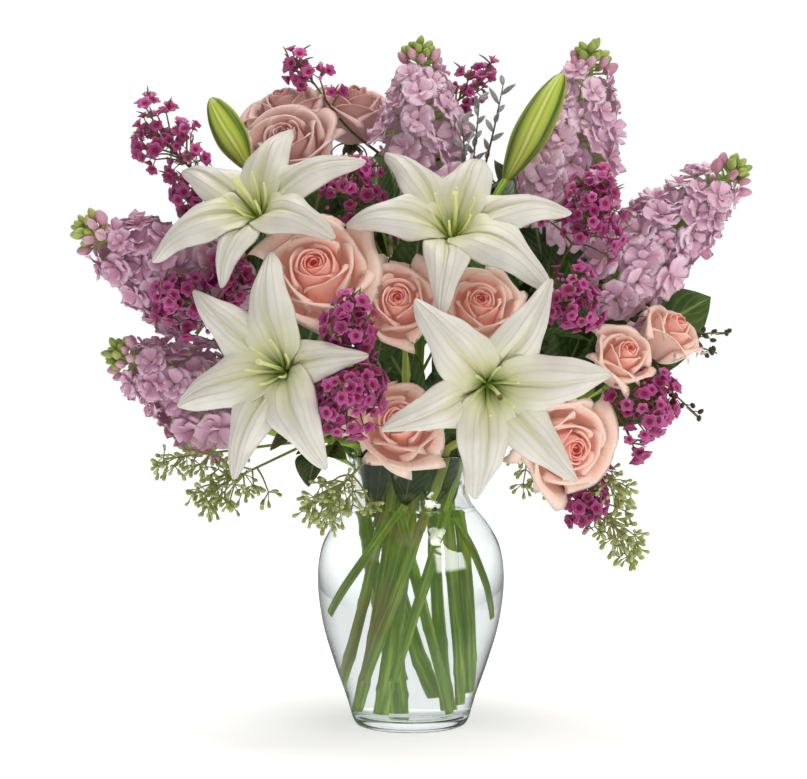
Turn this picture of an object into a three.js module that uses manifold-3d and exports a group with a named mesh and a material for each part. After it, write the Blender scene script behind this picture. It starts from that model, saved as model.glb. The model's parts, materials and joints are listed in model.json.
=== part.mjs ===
// Lilies with roses, stock, waxflower and greens in a clear glass vase of water.
// Millimetres, +Z up. The origin is the middle of the vase's underside, and the arrangement faces -Y.
import * as THREE from 'three';
import { mergeVertices } from 'three/addons/utils/BufferGeometryUtils.js';
import Module from 'manifold-3d';

const wasm = await Module();
wasm.setup();

// ---------------------------------------------------------------- driving dimensions
const GAP = 0.35;                 // air between any two pieces
const BEND = 0.7;                 // a stem that bends less than this is straight there
const TAU = 2 * Math.PI;
const GOLDEN = 2.39996;           // golden angle, radians

const VASE = {
  // outside radius at each height, from the foot to the rim
  outline: [[36, 0], [39.5, 5], [44, 20], [52.5, 44], [60, 70], [63.5, 98], [61, 121], [53, 137], [42, 151],
    [38, 162], [39.5, 174], [43, 184]],
  wall: 3, floor: 7, sides: 20, stations: 10,
};
const WATER_TOP = 148;

// Where the stems are tightest. They cross there: each slants round the axis by `twist` a mm of rise.
const TIE = { height: 120, radius: 25, twist: -0.0135 };
const RIM_PASS = 191;             // height at which a stem is past the rim and may bend
const STEM = { lily: 4.4, rose: 3, stock: 3.7, wax: 1.7, seeded: 1.7, green: 1.9 }; // radii
const STALK = { lily: 2.5, rose: 2.1, twig: 0.9, leaf: 1.2 };                       // radii
// The last stretch of a stem or a stalk runs straight into what it bears.
const REACH = { stem: 24, lily: 22, bud: 18, rose: 16, leaf: 6 };
// How stems are combed apart: the air between them, from a bloom, and each round's largest move.
const COMB = { rounds: 160, air: 1.4, bloomAir: 1, move: 3, evening: 0.02 };

const THIN = 1.5;                 // a petal's or leaf's thickness at its middle
const THROAT = { back: 2, front: 4 }; // of a lily, behind and before its centre
const FILAMENT = { radius: 0.85, reach: 0.46, spread: 0.18, pistil: 1.2, pistilReach: 0.62 };
// A rose's whorls from its heart out: each starts higher on the heart than the one round it.
const ROSE_WHORLS = [
  { petals: 2, size: 0.46, start: 0.26, top: 1.02, open: 0, spread: 1.25, along: 2 },
  { petals: 3, size: 0.74, start: 0.14, top: 1, open: 0.15, spread: 1.05, along: 2 },
  { petals: 4, size: 1, start: 0.03, top: 0.98, open: 0.62, spread: 0.83, along: 3 },
];
const SMALL_ROSE = 30;            // a rose under this radius has two rows of faces in its outer petals
const SPIKE = { core: 8.5, tuft: 26, out: 23, spacing: 9, size: 19 }; // a stock's flowering part
const WAX_HEAD = { lobes: 5, radius: 5.6, notch: 0.6, cup: 1.6, neck: 0.6 };
const SEED_HEAD = { stalk: 0.6, radius: 2.4, back: 2.2, front: 3.2 };
const HEAD_TRIES = 3;             // places tried for each flower or seed of a spray
const LEAF = { joint: 0.3, width: 0.42, sag: 5 }; // as shares of the way to the tip, and in mm

// Blooms: `at` is a lily's throat or the middle of a rose's face, `facing` is the way the bloom looks.
// `turns` are the ways a lily's tepals point, in degrees from its right, every other one an inner tepal.
const LILIES = [
  { name: 'lily_upper_left', at: [-96, -78, 340], facing: [-0.3, -0.75, 0.55], reach: 78,
    turns: [84, 29, -18, -100, -150, -208] },
  { name: 'lily_upper_right', at: [26, -98, 326], facing: [0, -0.75, 0.65], reach: 80,
    turns: [176, 123, 73, 10, -40, -97] },
  { name: 'lily_lower_left', at: [-78, -118, 244], facing: [-0.35, -0.9, 0.2], reach: 80,
    turns: [199, 142, 100, 9, -60, -109] },
  { name: 'lily_lower_right', at: [47, -138, 238], facing: [0.1, -0.97, -0.1], reach: 84,
    turns: [202, 131, 60, 5, -47, -96] },
];
const BUDS = [
  { name: 'bud_left', base: [-108, -40, 377], tip: [-132, -45, 423], radius: 11 },
  { name: 'bud_right', base: [63, -35, 370], tip: [101, -30, 440], radius: 12 },
];
const LILY_STEMS = [
  { name: 'lily_stem_left', fork: [-52, -22, 282], blooms: [0, 2], bud: 0 },
  { name: 'lily_stem_right', fork: [38, -18, 288], blooms: [1, 3], bud: 1 },
];
const ROSES = [
  { name: 'rose_left', at: [-62, -117, 314], facing: [-0.1, -0.86, 0.5], radius: 37, height: 36 },
  { name: 'rose_middle', at: [-9, -127, 292], facing: [-0.1, -0.93, 0.35], radius: 27, height: 35 },
  { name: 'rose_right', at: [45, -98, 291], facing: [0.1, -0.85, 0.5], radius: 27, height: 33 },
  { name: 'rose_low', at: [-8, -112, 215], facing: [-0.05, -0.9, 0.42], radius: 29, height: 34 },
  { name: 'rose_low_right', at: [107, -88, 193], facing: [0.45, -0.85, -0.1], radius: 33, height: 38 },
  { name: 'spray_rose_1', at: [143, -70, 259], facing: [0.3, -0.75, 0.5], radius: 21, height: 34 },
  { name: 'spray_rose_2', at: [180, -35, 277], facing: [0.55, -0.45, 0.7], radius: 22, height: 34 },
  { name: 'spray_rose_3', at: [-88, 20, 426], facing: [-0.3, -0.35, 0.88], radius: 27, height: 32, dusty: true },
  { name: 'spray_rose_4', at: [-38, 28, 429], facing: [0.1, -0.35, 0.92], radius: 25, height: 32, dusty: true },
  { name: 'spray_rose_5', at: [-84, -30, 398], facing: [-0.2, -0.75, 0.65], radius: 28, height: 32, dusty: true },
  { name: 'back_rose_1', at: [78, 128, 318], facing: [0.4, 0.85, 0.4], radius: 31, height: 35 },
  { name: 'back_rose_2', at: [-62, 135, 300], facing: [-0.3, 0.9, 0.35], radius: 31, height: 35 },
];
const ROSE_STEMS = [
  { name: 'rose_stem_left', blooms: [0] },
  { name: 'rose_stem_middle', blooms: [1] },
  { name: 'rose_stem_right', blooms: [2] },
  { name: 'rose_stem_low', blooms: [3] },
  { name: 'rose_stem_low_right', blooms: [4] },
  { name: 'spray_rose_stem_right', blooms: [5, 6], fork: [118, -20, 225] },
  { name: 'spray_rose_stem_top', blooms: [7, 8, 9], fork: [-52, 14, 355] },
  { name: 'spray_rose_stem_back', blooms: [10, 11], fork: [6, 66, 262] },
];
const STOCKS = [
  { name: 'stock_left', base: [-122, -28, 287], tip: [-222, -46, 341] },
  { name: 'stock_low_left', base: [-112, -36, 213], tip: [-201, -60, 259] },
  { name: 'stock_top', base: [8, 4, 342], tip: [6, -4, 467] },
  { name: 'stock_top_right', base: [92, 4, 322], tip: [124, 0, 465] },
  { name: 'stock_right', base: [124, -2, 288], tip: [225, -20, 384] },
  { name: 'stock_back', base: [4, 84, 326], tip: [4, 150, 425] },
];
const WAXFLOWERS = [
  { name: 'waxflower_left', root: [-108, -22, 338],
    clumps: [{ at: [-171, -30, 402], spread: 26, count: 5 },
      { at: [-146, -37, 362], spread: 16, count: 2 }] },
  { name: 'waxflower_mid_left', root: [-104, -44, 282],
    clumps: [{ at: [-152, -76, 292], spread: 22, count: 4 },
      { at: [-122, -70, 306], spread: 14, count: 2 }] },
  { name: 'waxflower_upper', root: [-26, -28, 335],
    clumps: [{ at: [-40, -66, 364], spread: 24, count: 6 }] },
  { name: 'waxflower_centre', root: [-34, -84, 256],
    clumps: [{ at: [-38, -138, 276], spread: 22, count: 3 },
      { at: [-42, -142, 230], spread: 28, count: 4 }] },
  { name: 'waxflower_right', root: [88, -36, 296],
    clumps: [{ at: [122, -66, 354], spread: 26, count: 5 },
      { at: [104, -84, 288], spread: 20, count: 2 }] },
  { name: 'waxflower_low_right', root: [104, -22, 214],
    clumps: [{ at: [156, -56, 222], spread: 28, count: 5 },
      { at: [116, -62, 152], spread: 16, count: 2 }] },
  { name: 'waxflower_top', root: [-14, 26, 385],
    clumps: [{ at: [-79, 14, 452], spread: 15, count: 3 },
      { at: [50, 14, 442], spread: 15, count: 3 }] },
];
const SEEDED = [
  { name: 'seeded_eucalyptus_left', root: [-64, -22, 196],
    clumps: [{ at: [-133, -92, 166], spread: 20, count: 6 },
      { at: [-160, -84, 187], spread: 14, count: 4 }] },
  { name: 'seeded_eucalyptus_front', root: [-20, -70, 195],
    clumps: [{ at: [-54, -116, 162], spread: 24, count: 8 }] },
  { name: 'seeded_eucalyptus_right', root: [84, -14, 196],
    clumps: [{ at: [136, -62, 168], spread: 17, count: 5 },
      { at: [146, -64, 128], spread: 20, count: 6 }] },
  { name: 'seeded_eucalyptus_back', root: [52, 70, 200],
    clumps: [{ at: [104, 112, 168], spread: 24, count: 8 }] },
];
const GREENS = [
  { name: 'greenery_left', root: [-50, -44, 203], leaves: [[-66, -98, 170], [-92, -78, 192]] },
  { name: 'greenery_right', root: [78, 6, 214], leaves: [[205, 8, 292], [176, 10, 222], [150, 60, 240]] },
  { name: 'greenery_middle', root: [60, -16, 262],
    leaves: [[92, -62, 322], [122, -44, 262], [66, 56, 316]] },
  { name: 'greenery_back', root: [-34, 66, 218],
    leaves: [[-118, 92, 262], [-96, 112, 206], [8, 142, 214]] },
];

// ---------------------------------------------------------------- solids
const vec = (a) => new THREE.Vector3(...a);
const mixed = (a, b, t) => a.clone().lerp(b, t);
const turned = (out, turn, height) => new THREE.Vector3(out * Math.cos(turn), out * Math.sin(turn), height);

// The same draws each time, from a whole-number seed.
function draws(seed) {
  let state = (seed * 7919 + 104729) % 233280;
  return () => {
    state = (state * 9301 + 49297) % 233280;
    return state / 233280;
  };
}

// A closed three.js geometry as a solid that can be joined and cut, with its faces out.
function solid(geometry) {
  const bare = geometry.clone();
  bare.deleteAttribute('normal');
  bare.deleteAttribute('uv');
  const merged = mergeVertices(bare, 1e-4);
  const faces = [];
  for (let i = 0; i < merged.index.count; i += 3) {
    const [a, b, c] = [0, 1, 2].map((k) => merged.index.getX(i + k));
    if (a !== b && b !== c && c !== a) faces.push(a, b, c);
  }
  const made = () => new wasm.Manifold(new wasm.Mesh({
    numProp: 3,
    vertProperties: new Float32Array(merged.attributes.position.array),
    triVerts: new Uint32Array(faces),
  }));
  const first = made();
  if (first.volume() > 0) return first;
  faces.reverse();
  return made();
}

const polyhedron = (corners, faces) => solid(new THREE.BufferGeometry()
  .setAttribute('position', new THREE.Float32BufferAttribute(corners, 3)).setIndex(faces));

// A body of revolution about z, from [radius, height] stations.
const turnedSolid = (stations, sides) => solid(new THREE.LatheGeometry(
  stations.map(([r, h]) => new THREE.Vector2(r, h)), sides).rotateX(Math.PI / 2));

function geometryOf(body) {
  const mesh = body.getMesh();
  return new THREE.BufferGeometry()
    .setAttribute('position', new THREE.BufferAttribute(new Float32Array(mesh.vertProperties), 3))
    .setIndex(new THREE.BufferAttribute(new Uint32Array(mesh.triVerts), 1));
}

const union = (solids) => wasm.Manifold.union(solids);
const moved = (body, matrix) => body.transform(matrix.elements);

// A frame of its own for a bloom: z looks along `facing`, y is as near to up as it can be.
function placement(at, facing) {
  const z = facing.clone().normalize();
  const up = Math.abs(z.z) > 0.98 ? new THREE.Vector3(0, 1, 0) : new THREE.Vector3(0, 0, 1);
  const y = up.addScaledVector(z, -up.dot(z)).normalize();
  const x = y.clone().cross(z);
  return new THREE.Matrix4().makeBasis(x, y, z).setPosition(at);
}

// A path through given points, with its corners kept.
class Path extends THREE.Curve {
  constructor(points) {
    super();
    this.points = points;
  }

  getPoint(t) {
    const place = t * (this.points.length - 1);
    const i = Math.min(Math.floor(place), this.points.length - 2);
    return mixed(this.points[i], this.points[i + 1], place - i);
  }

  getPointAt(t) {
    return this.getPoint(t);
  }

  getTangentAt(t) {
    return this.getTangent(t);
  }
}

function tube(points, radius, sides) {
  const section = new THREE.Shape(Array.from({ length: sides }, (_, i) => new THREE.Vector2(
    radius * Math.cos((i / sides) * TAU), radius * Math.sin((i / sides) * TAU))));
  return solid(new THREE.ExtrudeGeometry(section, {
    steps: points.length - 1, extrudePath: new Path(points), bevelEnabled: false,
  }));
}

// A thin curved blade. point(u, v) is its middle surface, u from -1 to 1 across and v from 0 to 1 along.
// Its two faces are split alike and meet in a sharp edge all round.
function blade(point, across, along, thick) {
  const step = 1e-3;
  const corners = [];
  const rows = [];
  for (let j = 0; j <= along; j++) {
    rows.push([]);
    for (let i = 0; i <= across; i++) {
      const [u, v] = [(2 * i) / across - 1, j / along];
      const middle = point(u, v);
      const rim = i === 0 || i === across || j === 0 || j === along;
      const du = point(u + step, v).sub(point(u - step, v));
      const dv = point(u, Math.min(1, v + step)).sub(point(u, Math.max(0, v - step)));
      const half = rim ? new THREE.Vector3() : du.cross(dv).setLength(thick / 2);
      const upper = corners.push(middle.clone().add(half)) - 1;
      rows[j].push([upper, rim ? upper : corners.push(middle.sub(half)) - 1]);
    }
  }
  const faces = [];
  for (let j = 0; j < along; j++) {
    for (let i = 0; i < across; i++) {
      const [a, b, c, d] = [rows[j][i], rows[j][i + 1], rows[j + 1][i + 1], rows[j + 1][i]];
      faces.push(a[0], b[0], c[0], a[0], c[0], d[0]);
      faces.push(c[1], b[1], a[1], d[1], c[1], a[1]);
    }
  }
  return polyhedron(corners.flatMap((p) => p.toArray()), faces);
}

// A lobed flower that faces +z from the origin, cupped, with a cone behind it that ends `depth` back:
// in a point, or, with a neck, in a stalk of that radius.
function floret({ lobes, radius, notch, cup, depth, neck }) {
  const rim = 2 * lobes;
  const corners = [0, 0, -cup];
  for (let k = 0; k < rim; k++) {
    const lift = k % 2 ? -0.5 * cup : (k % 4 ? 0.4 : -0.2) * cup;
    corners.push(...turned(k % 2 ? radius * notch : radius, (k / rim) * TAU, lift).toArray());
  }
  const faces = [];
  for (let k = 0; k < rim; k++) faces.push(0, 1 + k, 1 + ((k + 1) % rim));
  const back = 1 + rim;
  if (!neck) {
    corners.push(0, 0, -depth);
    for (let k = 0; k < rim; k++) faces.push(back, 1 + ((k + 1) % rim), 1 + k);
    return polyhedron(corners, faces);
  }
  for (const height of [-0.8 * radius, -depth]) {
    for (let w = 0; w < 3; w++) corners.push(...turned(neck, ((w + 0.5) / 3) * TAU, height).toArray());
  }
  const waist = (k) => Math.floor((3 * (k % rim)) / rim);
  for (let k = 0; k < rim; k++) {
    const [a, b, w, next] = [1 + k, 1 + ((k + 1) % rim), back + waist(k), back + waist(k + 1)];
    faces.push(w, b, a);
    if (next !== w) faces.push(w, next, b);
  }
  for (let w = 0; w < 3; w++) {
    const [a, b] = [back + w, back + ((w + 1) % 3)];
    faces.push(a, a + 3, b, b, a + 3, b + 3);
  }
  faces.push(back + 3, back + 5, back + 4);
  return polyhedron(corners, faces);
}

// ---------------------------------------------------------------- the shapes of petals and leaves
// A tepal's rib runs forward as a funnel and then spreads. Near the throat the blade wraps round the
// funnel, the inner tepals inside and the outer ones outside.
function tepalPoint(lily, k) {
  const inner = k % 2 === 0;
  const width = (inner ? 0.46 : 0.37) * lily.reach;
  const even = lily.turns.reduce((sum, turn, i) => sum + (turn + 60 * i) / 6, 0) - 60 * k;
  const rib = new THREE.CubicBezierCurve(
    new THREE.Vector2(2.5, -1), new THREE.Vector2(0.16 * lily.reach, 0.36 * lily.reach),
    new THREE.Vector2(0.55 * lily.reach, 0.5 * lily.reach),
    new THREE.Vector2(0.98 * lily.reach, (inner ? 0.22 : 0.28) * lily.reach));
  return (u, v) => {
    const at = rib.getPoint(v);
    const along = rib.getTangent(v);
    const swell = 0.24 * (1 - v) + (1 - 0.24 * (1 - v)) * Math.sin(Math.PI * v ** 0.85) ** 0.8;
    const half = Math.min(0.5 * width * swell, (inner ? 0.95 : 0.85) * at.x);
    const lift = (inner ? 1.2 : -1.2) - 0.3 * half * u * u * v * v;
    const out = at.x - along.y * lift;
    const turn = THREE.MathUtils.degToRad(even + (lily.turns[k] - even) * Math.min(1, 2 * v));
    return turned(out, turn + (u * half) / Math.max(out, 2), at.y + along.x * lift);
  };
}

// One petal of a rose's cup.
function rosePetalPoint(rose, whorl, turn) {
  const [R, H, z0] = [rose.radius * whorl.size, rose.height, whorl.start * rose.height];
  const rib = new THREE.CubicBezierCurve(
    new THREE.Vector2(0.1 * rose.radius, z0), new THREE.Vector2(0.8 * R, z0),
    new THREE.Vector2((0.7 + 0.2 * whorl.open) * R, (0.72 - 0.1 * whorl.open) * H),
    new THREE.Vector2((0.6 + 0.5 * whorl.open) * R, (whorl.top - 0.28 * whorl.open) * H));
  return (u, v) => {
    const at = rib.getPoint(v * (1 - 0.12 * u * u));
    const half = whorl.spread * Math.sin(Math.PI * Math.min(0.5, 1.1 * v));
    return turned(at.x * (1 + 0.08 * u), turn + u * half, at.y);
  };
}

function leafPoint(root, tip, width, sag) {
  const along = tip.clone().sub(root);
  const side = along.clone().cross(new THREE.Vector3(0, 0, 1)).normalize();
  const up = side.clone().cross(along).normalize();
  return (u, v) => {
    const half = (width / 2) * (0.1 * (1 - v) + Math.sin(Math.PI * v ** 0.9) ** 0.85);
    return root.clone().addScaledVector(along, v).addScaledVector(side, u * half)
      .addScaledVector(up, sag * Math.sin(Math.PI * v) + 0.22 * half * u * u);
  };
}

// ---------------------------------------------------------------- the courses of the stems
const axisOf = (row) => vec(row.facing).normalize();
const roseBase = (rose) => vec(rose.at).addScaledVector(axisOf(rose), -rose.height);
const spikeAxis = (row) => vec(row.tip).sub(vec(row.base)).normalize();

// How a stem's place at the tie swings round and out, `rise` above it or, where negative, below.
function swung(point, rise) {
  const slant = -rise * TIE.twist;
  return new THREE.Vector2(point.x - slant * point.y, point.y + slant * point.x);
}

function vaseInside(height) {
  const k = Math.max(1, VASE.outline.findIndex((row) => row[1] >= height));
  const [[r0, z0], [r1, z1]] = [VASE.outline[k - 1], VASE.outline[k]];
  return r0 + ((r1 - r0) * (height - z0)) / (z1 - z0) - VASE.wall;
}

// A stem's end is met along `along`. Stalks leave from there, and each ends in something of its own.
function plant(name, radius, end, along, stalks = []) {
  return { name, radius, end, along: along.clone().normalize(), stalks };
}

function forked(name, radius, fork, stalks) {
  const from = new THREE.Vector3(0, 0, fork[2] < 240 ? RIM_PASS : TIE.height);
  return plant(name, radius, vec(fork), vec(fork).sub(from), stalks);
}

function stalk(end, along, radius, reach, bears) {
  return { end, along: along.clone().normalize(), radius, reach, bears };
}

function roseStalk(k) {
  const rose = ROSES[k];
  const seat = roseBase(rose).addScaledVector(axisOf(rose), -3);
  return stalk(seat, axisOf(rose), STALK.rose, REACH.rose, rose.name);
}

function lilyStalk(k) {
  const lily = LILIES[k];
  const seat = vec(lily.at).addScaledVector(axisOf(lily), -THROAT.back - 2 * GAP);
  return stalk(seat, axisOf(lily), STALK.lily, REACH.lily, lily.name);
}

const budStalk = (bud) => stalk(vec(bud.base), spikeAxis(bud), STALK.lily, REACH.bud, bud.name);

function clumpStalks(spray) {
  return spray.clumps.map(({ at, spread }) => (
    stalk(vec(at), vec(at).sub(vec(spray.root)), STALK.twig, spread, spray.name)));
}

const leafJoint = (row, tip) => mixed(vec(row.root), tip, LEAF.joint);

function leafStalks(row) {
  return row.leaves.map((tip) => {
    const joint = leafJoint(row, vec(tip));
    return stalk(joint, vec(tip).sub(joint), STALK.leaf, REACH.leaf, row.name);
  });
}

function listPlants() {
  return [
    ...LILY_STEMS.map((row) => forked(row.name, STEM.lily, row.fork,
      [...row.blooms.map(lilyStalk), budStalk(BUDS[row.bud])])),
    ...ROSE_STEMS.map((row) => (row.fork ? forked(row.name, STEM.rose, row.fork, row.blooms.map(roseStalk))
      : plant(row.name, STEM.rose, roseStalk(row.blooms[0]).end, axisOf(ROSES[row.blooms[0]])))),
    ...STOCKS.map((row) => plant(row.name, STEM.stock, vec(row.base), spikeAxis(row))),
    ...WAXFLOWERS.map((row) => forked(row.name, STEM.wax, row.root, clumpStalks(row))),
    ...SEEDED.map((row) => forked(row.name, STEM.seeded, row.root, clumpStalks(row))),
    ...GREENS.map((row) => forked(row.name, STEM.green, row.root, leafStalks(row))),
  ];
}

// Balls that stems keep out of, each with the name of what it stands for.
function listKeepOuts() {
  const balls = [];
  const add = (name, centre, radius) => balls.push({ name, centre, radius });
  for (const lily of LILIES) {
    const matrix = placement(vec(lily.at), vec(lily.facing));
    add(lily.name, new THREE.Vector3(0, 0, 14).applyMatrix4(matrix), 15);
    lily.turns.forEach((_, k) => {
      for (const v of [0.4, 0.6, 0.8]) add(lily.name, tepalPoint(lily, k)(0, v).applyMatrix4(matrix), 11);
    });
  }
  for (const rose of ROSES) {
    add(rose.name, roseBase(rose).addScaledVector(axisOf(rose), 0.6 * rose.height), rose.radius);
  }
  for (const row of STOCKS) {
    for (const share of [0.15, 0.4, 0.65]) add(row.name, mixed(vec(row.base), vec(row.tip), share), 19);
  }
  for (const bud of BUDS) {
    for (const share of [0.3, 0.65]) add(bud.name, mixed(vec(bud.base), vec(bud.tip), share), bud.radius);
  }
  return balls;
}

// Spreads the stems over the tie: those that lean out most stand outermost.
function spreadTies(plants) {
  const lean = ({ end }) => Math.hypot(end.x, end.y) / (end.z - TIE.height);
  const order = [...plants].sort((a, b) => lean(a) - lean(b));
  order.forEach((row, rank) => {
    const turn = Math.atan2(row.end.y, row.end.x) - Math.atan(-(RIM_PASS + 30 - TIE.height) * TIE.twist);
    const out = TIE.radius * Math.sqrt((rank + 0.5) / order.length);
    row.tie = new THREE.Vector2(out * Math.cos(turn), out * Math.sin(turn));
  });
  for (let round = 0; round < 600; round++) {
    for (const a of plants) {
      for (const b of plants) {
        const apart = a.tie.clone().sub(b.tie);
        const short = (a.radius + b.radius + GAP + 0.25) * 1.1 - apart.length();
        if (a !== b && short > 0) a.tie.addScaledVector(apart.normalize(), 0.3 * short);
      }
      a.tie.clampLength(0, TIE.radius + STEM.lily - a.radius);
    }
  }
}

// The cut end of a stem stands just off the vase's floor, or where the stem meets its wall.
function footOf(row) {
  let height = TIE.height - 30;
  const room = (z) => vaseInside(z) - row.radius - 4 - swung(row.tie, z - TIE.height).length();
  while (height > VASE.floor + 3 && room(height - 1) > 0) height -= 1;
  return onRuling(row, height);
}

function onRuling(row, height) {
  const at = swung(row.tie, height - TIE.height);
  return new THREE.Vector3(at.x, at.y, height);
}

// The shares along two straight stretches where they are nearest, and the vector between those points.
function nearest(p0, p1, q0, q1) {
  const [d1, d2, r] = [p1.clone().sub(p0), q1.clone().sub(q0), p0.clone().sub(q0)];
  const [a, e, f, b, c] = [d1.dot(d1), Math.max(d2.dot(d2), 1e-9), d2.dot(r), d1.dot(d2), d1.dot(r)];
  const clamp = (x) => Math.min(1, Math.max(0, x));
  const area = a * e - b * b;
  const first = area > 1e-9 ? clamp((b * f - c * e) / area) : 0.5;
  const t = clamp((b * first + f) / e);
  const s = clamp((b * t - c) / a);
  return { s, between: r.addScaledVector(d1, s).addScaledVector(d2, -t) };
}

// A course is a run of points; those in `free` may be pushed.
function listCourses(plants) {
  const courses = [];
  for (const row of plants) {
    const start = onRuling(row, RIM_PASS);
    const near = row.end.clone().addScaledVector(row.along, -REACH.stem);
    row.points = [footOf(row), start, mixed(start, near, 0.36), mixed(start, near, 0.7), near, row.end];
    courses.push({ row, points: row.points, radius: row.radius, free: [2, 3], first: 1, bears: row.name });
    for (const twig of row.stalks) {
      const last = twig.end.clone().addScaledVector(twig.along, -twig.reach);
      twig.points = [row.end.clone(), mixed(row.end, last, 0.5), last, twig.end];
      courses.push({ row, points: twig.points, radius: twig.radius, free: [1], first: 0, bears: twig.bears });
    }
  }
  for (const row of ROSE_STEMS) {
    if (!row.fork) courses.find((course) => course.row.name === row.name).bears = ROSES[row.blooms[0]].name;
  }
  return courses;
}

// Pushes the free ends of one stretch out of reach of another, or of a ball.
function pushApart(pushes, course, m, q0, q1, room, strength) {
  const { s, between } = nearest(course.points[m], course.points[m + 1], q0, q1);
  const short = room - between.length();
  if (short <= 0) return;
  between.setLength(short * strength);
  if (course.free.includes(m)) pushes[m].addScaledVector(between, 1 - s);
  if (course.free.includes(m + 1)) pushes[m + 1].addScaledVector(between, s);
}

// Leaves out the points where a course hardly bends.
function straightened(points) {
  const kept = [points[0]];
  for (let k = 1; k < points.length - 1; k++) {
    const way = points[k + 1].clone().sub(kept.at(-1)).normalize();
    const off = points[k].clone().sub(kept.at(-1));
    if (off.addScaledVector(way, -off.dot(way)).length() > BEND) kept.push(points[k]);
  }
  return [...kept, points.at(-1)];
}

// What the other courses and the keep-out balls push a course's points by.
function pushesOn(course, courses, balls) {
  const pushes = course.points.map(() => new THREE.Vector3());
  for (let m = course.first; m < course.points.length - 1; m++) {
    for (const other of courses) {
      if (other.row === course.row) continue;
      const room = course.radius + other.radius + COMB.air;
      for (let n = other.first; n < other.points.length - 1; n++) {
        pushApart(pushes, course, m, other.points[n], other.points[n + 1], room, 0.5);
      }
    }
    for (const ball of balls) {
      if (ball.name === course.bears) continue;
      const room = ball.radius + course.radius + COMB.bloomAir;
      pushApart(pushes, course, m, ball.centre, ball.centre, room, 0.3);
    }
  }
  return pushes;
}

// Moves a course's free points, evens its bends a little, and keeps it over the vase's rim.
function shift(course, pushes) {
  for (const k of course.free) {
    const point = course.points[k];
    const even = mixed(course.points[k - 1], course.points[k + 1], 0.5).sub(point);
    point.add(pushes[k].clampLength(0, COMB.move)).addScaledVector(even, COMB.evening);
    if (course.first === 1) point.z = Math.max(point.z, RIM_PASS + 6);
  }
}

// Combs the stems clear of each other and of the blooms, round by round.
function combStems() {
  const plants = listPlants();
  spreadTies(plants);
  const courses = listCourses(plants);
  const balls = listKeepOuts();
  for (let round = 0; round < COMB.rounds; round++) {
    const moves = courses.map((course) => pushesOn(course, courses, balls));
    courses.forEach((course, i) => shift(course, moves[i]));
  }
  for (const row of plants) {
    row.points = [row.points[0], ...straightened(row.points.slice(1))];
    for (const twig of row.stalks) twig.points = straightened(twig.points);
  }
  for (const row of STOCKS) {
    const top = vec(row.tip).addScaledVector(spikeAxis(row), 12 - SPIKE.tuft);
    plants.find((other) => other.name === row.name).points.push(top);
  }
  return plants;
}

// ---------------------------------------------------------------- pieces that stay clear of each other
const group = new THREE.Group();
const standing = []; // what is placed already, a little grown

const boxesMeet = (a, b) => [0, 1, 2].every((k) => a.min[k] <= b.max[k] && b.min[k] <= a.max[k]);

function crossed(body, ignore) {
  const box = body.boundingBox();
  return standing.filter((other) => !ignore.includes(other.name) && boxesMeet(box, other.box)
    && !body.intersect(other.body).isEmpty());
}

function keepClearOf(name, grown) {
  standing.push({ name, body: grown, box: grown.boundingBox() });
}

// The largest connected body: a scrap that a cut has left loose is dropped.
function largest(body) {
  return body.decompose().reduce((best, piece) => (piece.volume() > best.volume() ? piece : best));
}

// Adds a node in its own frame. What would still cross a piece that stands there already is cut away.
function addNode(name, material, body, matrix = new THREE.Matrix4(), ignore = []) {
  const clear = crossed(body, [name, ...ignore]).reduce((left, other) => left.subtract(other.body), body);
  const mesh = new THREE.Mesh(geometryOf(moved(largest(clear), matrix.clone().invert())), material);
  mesh.name = name;
  mesh.applyMatrix4(matrix);
  group.add(mesh);
}

// ---------------------------------------------------------------- materials
function finish(color, roughness, more = {}) {
  return new THREE.MeshStandardMaterial({ color, roughness, metalness: 0, ...more });
}

const MATERIAL = {
  glass: finish(0xf4f8f8, 0.04, { transparent: true, opacity: 0.28 }),
  water: finish(0xeaf3f1, 0.05, { transparent: true, opacity: 0.35 }),
  lily: finish(0xf3f0e6, 0.55),
  filament: finish(0xd5dd86, 0.5),
  rose: finish(0xf0b6a6, 0.6),
  dustyRose: finish(0xdba3a8, 0.6),
  stock: finish(0xcf9fc4, 0.65),
  wax: finish(0xa93a86, 0.55),
  seeded: finish(0xa9b878, 0.6),
  stem: finish(0x5f8436, 0.5),
  leaf: finish(0x3d5a2a, 0.5),
};

// ---------------------------------------------------------------- the vase and its water
function vaseSide(inset, bottom, top) {
  return new THREE.SplineCurve(VASE.outline.map(([r, z]) => new THREE.Vector2(r, z)))
    .getPoints(VASE.stations)
    .filter((p) => p.y >= bottom && p.y <= top)
    .map((p) => [p.x - inset, p.y]);
}

function makeVase() {
  const rim = VASE.outline.at(-1)[1];
  const inner = vaseSide(VASE.wall, VASE.floor + 1, rim).reverse();
  return turnedSolid([[0, 0], ...vaseSide(0, 0, rim), ...inner,
    [vaseInside(VASE.floor) - 3, VASE.floor], [0, VASE.floor]], VASE.sides);
}

// The water, with a plain hole for each stem.
function makeWater(plants) {
  const side = vaseSide(VASE.wall + 2 * GAP, VASE.floor + 1, WATER_TOP - 4);
  const bottom = VASE.floor + GAP;
  const full = turnedSolid([[0, bottom], [vaseInside(VASE.floor) - 4, bottom], ...side,
    [vaseInside(WATER_TOP) - 2, WATER_TOP], [0, WATER_TOP]], VASE.sides);
  return plants.reduce((left, row) => {
    const [foot, rim] = row.points;
    const down = foot.clone().sub(rim).setLength(GAP);
    return left.subtract(tube([foot.clone().add(down), rim], row.radius + GAP, stemSides(row)));
  }, full);
}

// ---------------------------------------------------------------- flowers
const stemSides = (row) => (row.radius > 4 ? 5 : 4);

const coursesOf = (row, grow = 0) => [tube(row.points, row.radius + grow, stemSides(row)),
  ...row.stalks.map((twig) => tube(twig.points, twig.radius + grow, twig.radius > 2 ? 4 : 3))];

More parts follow.
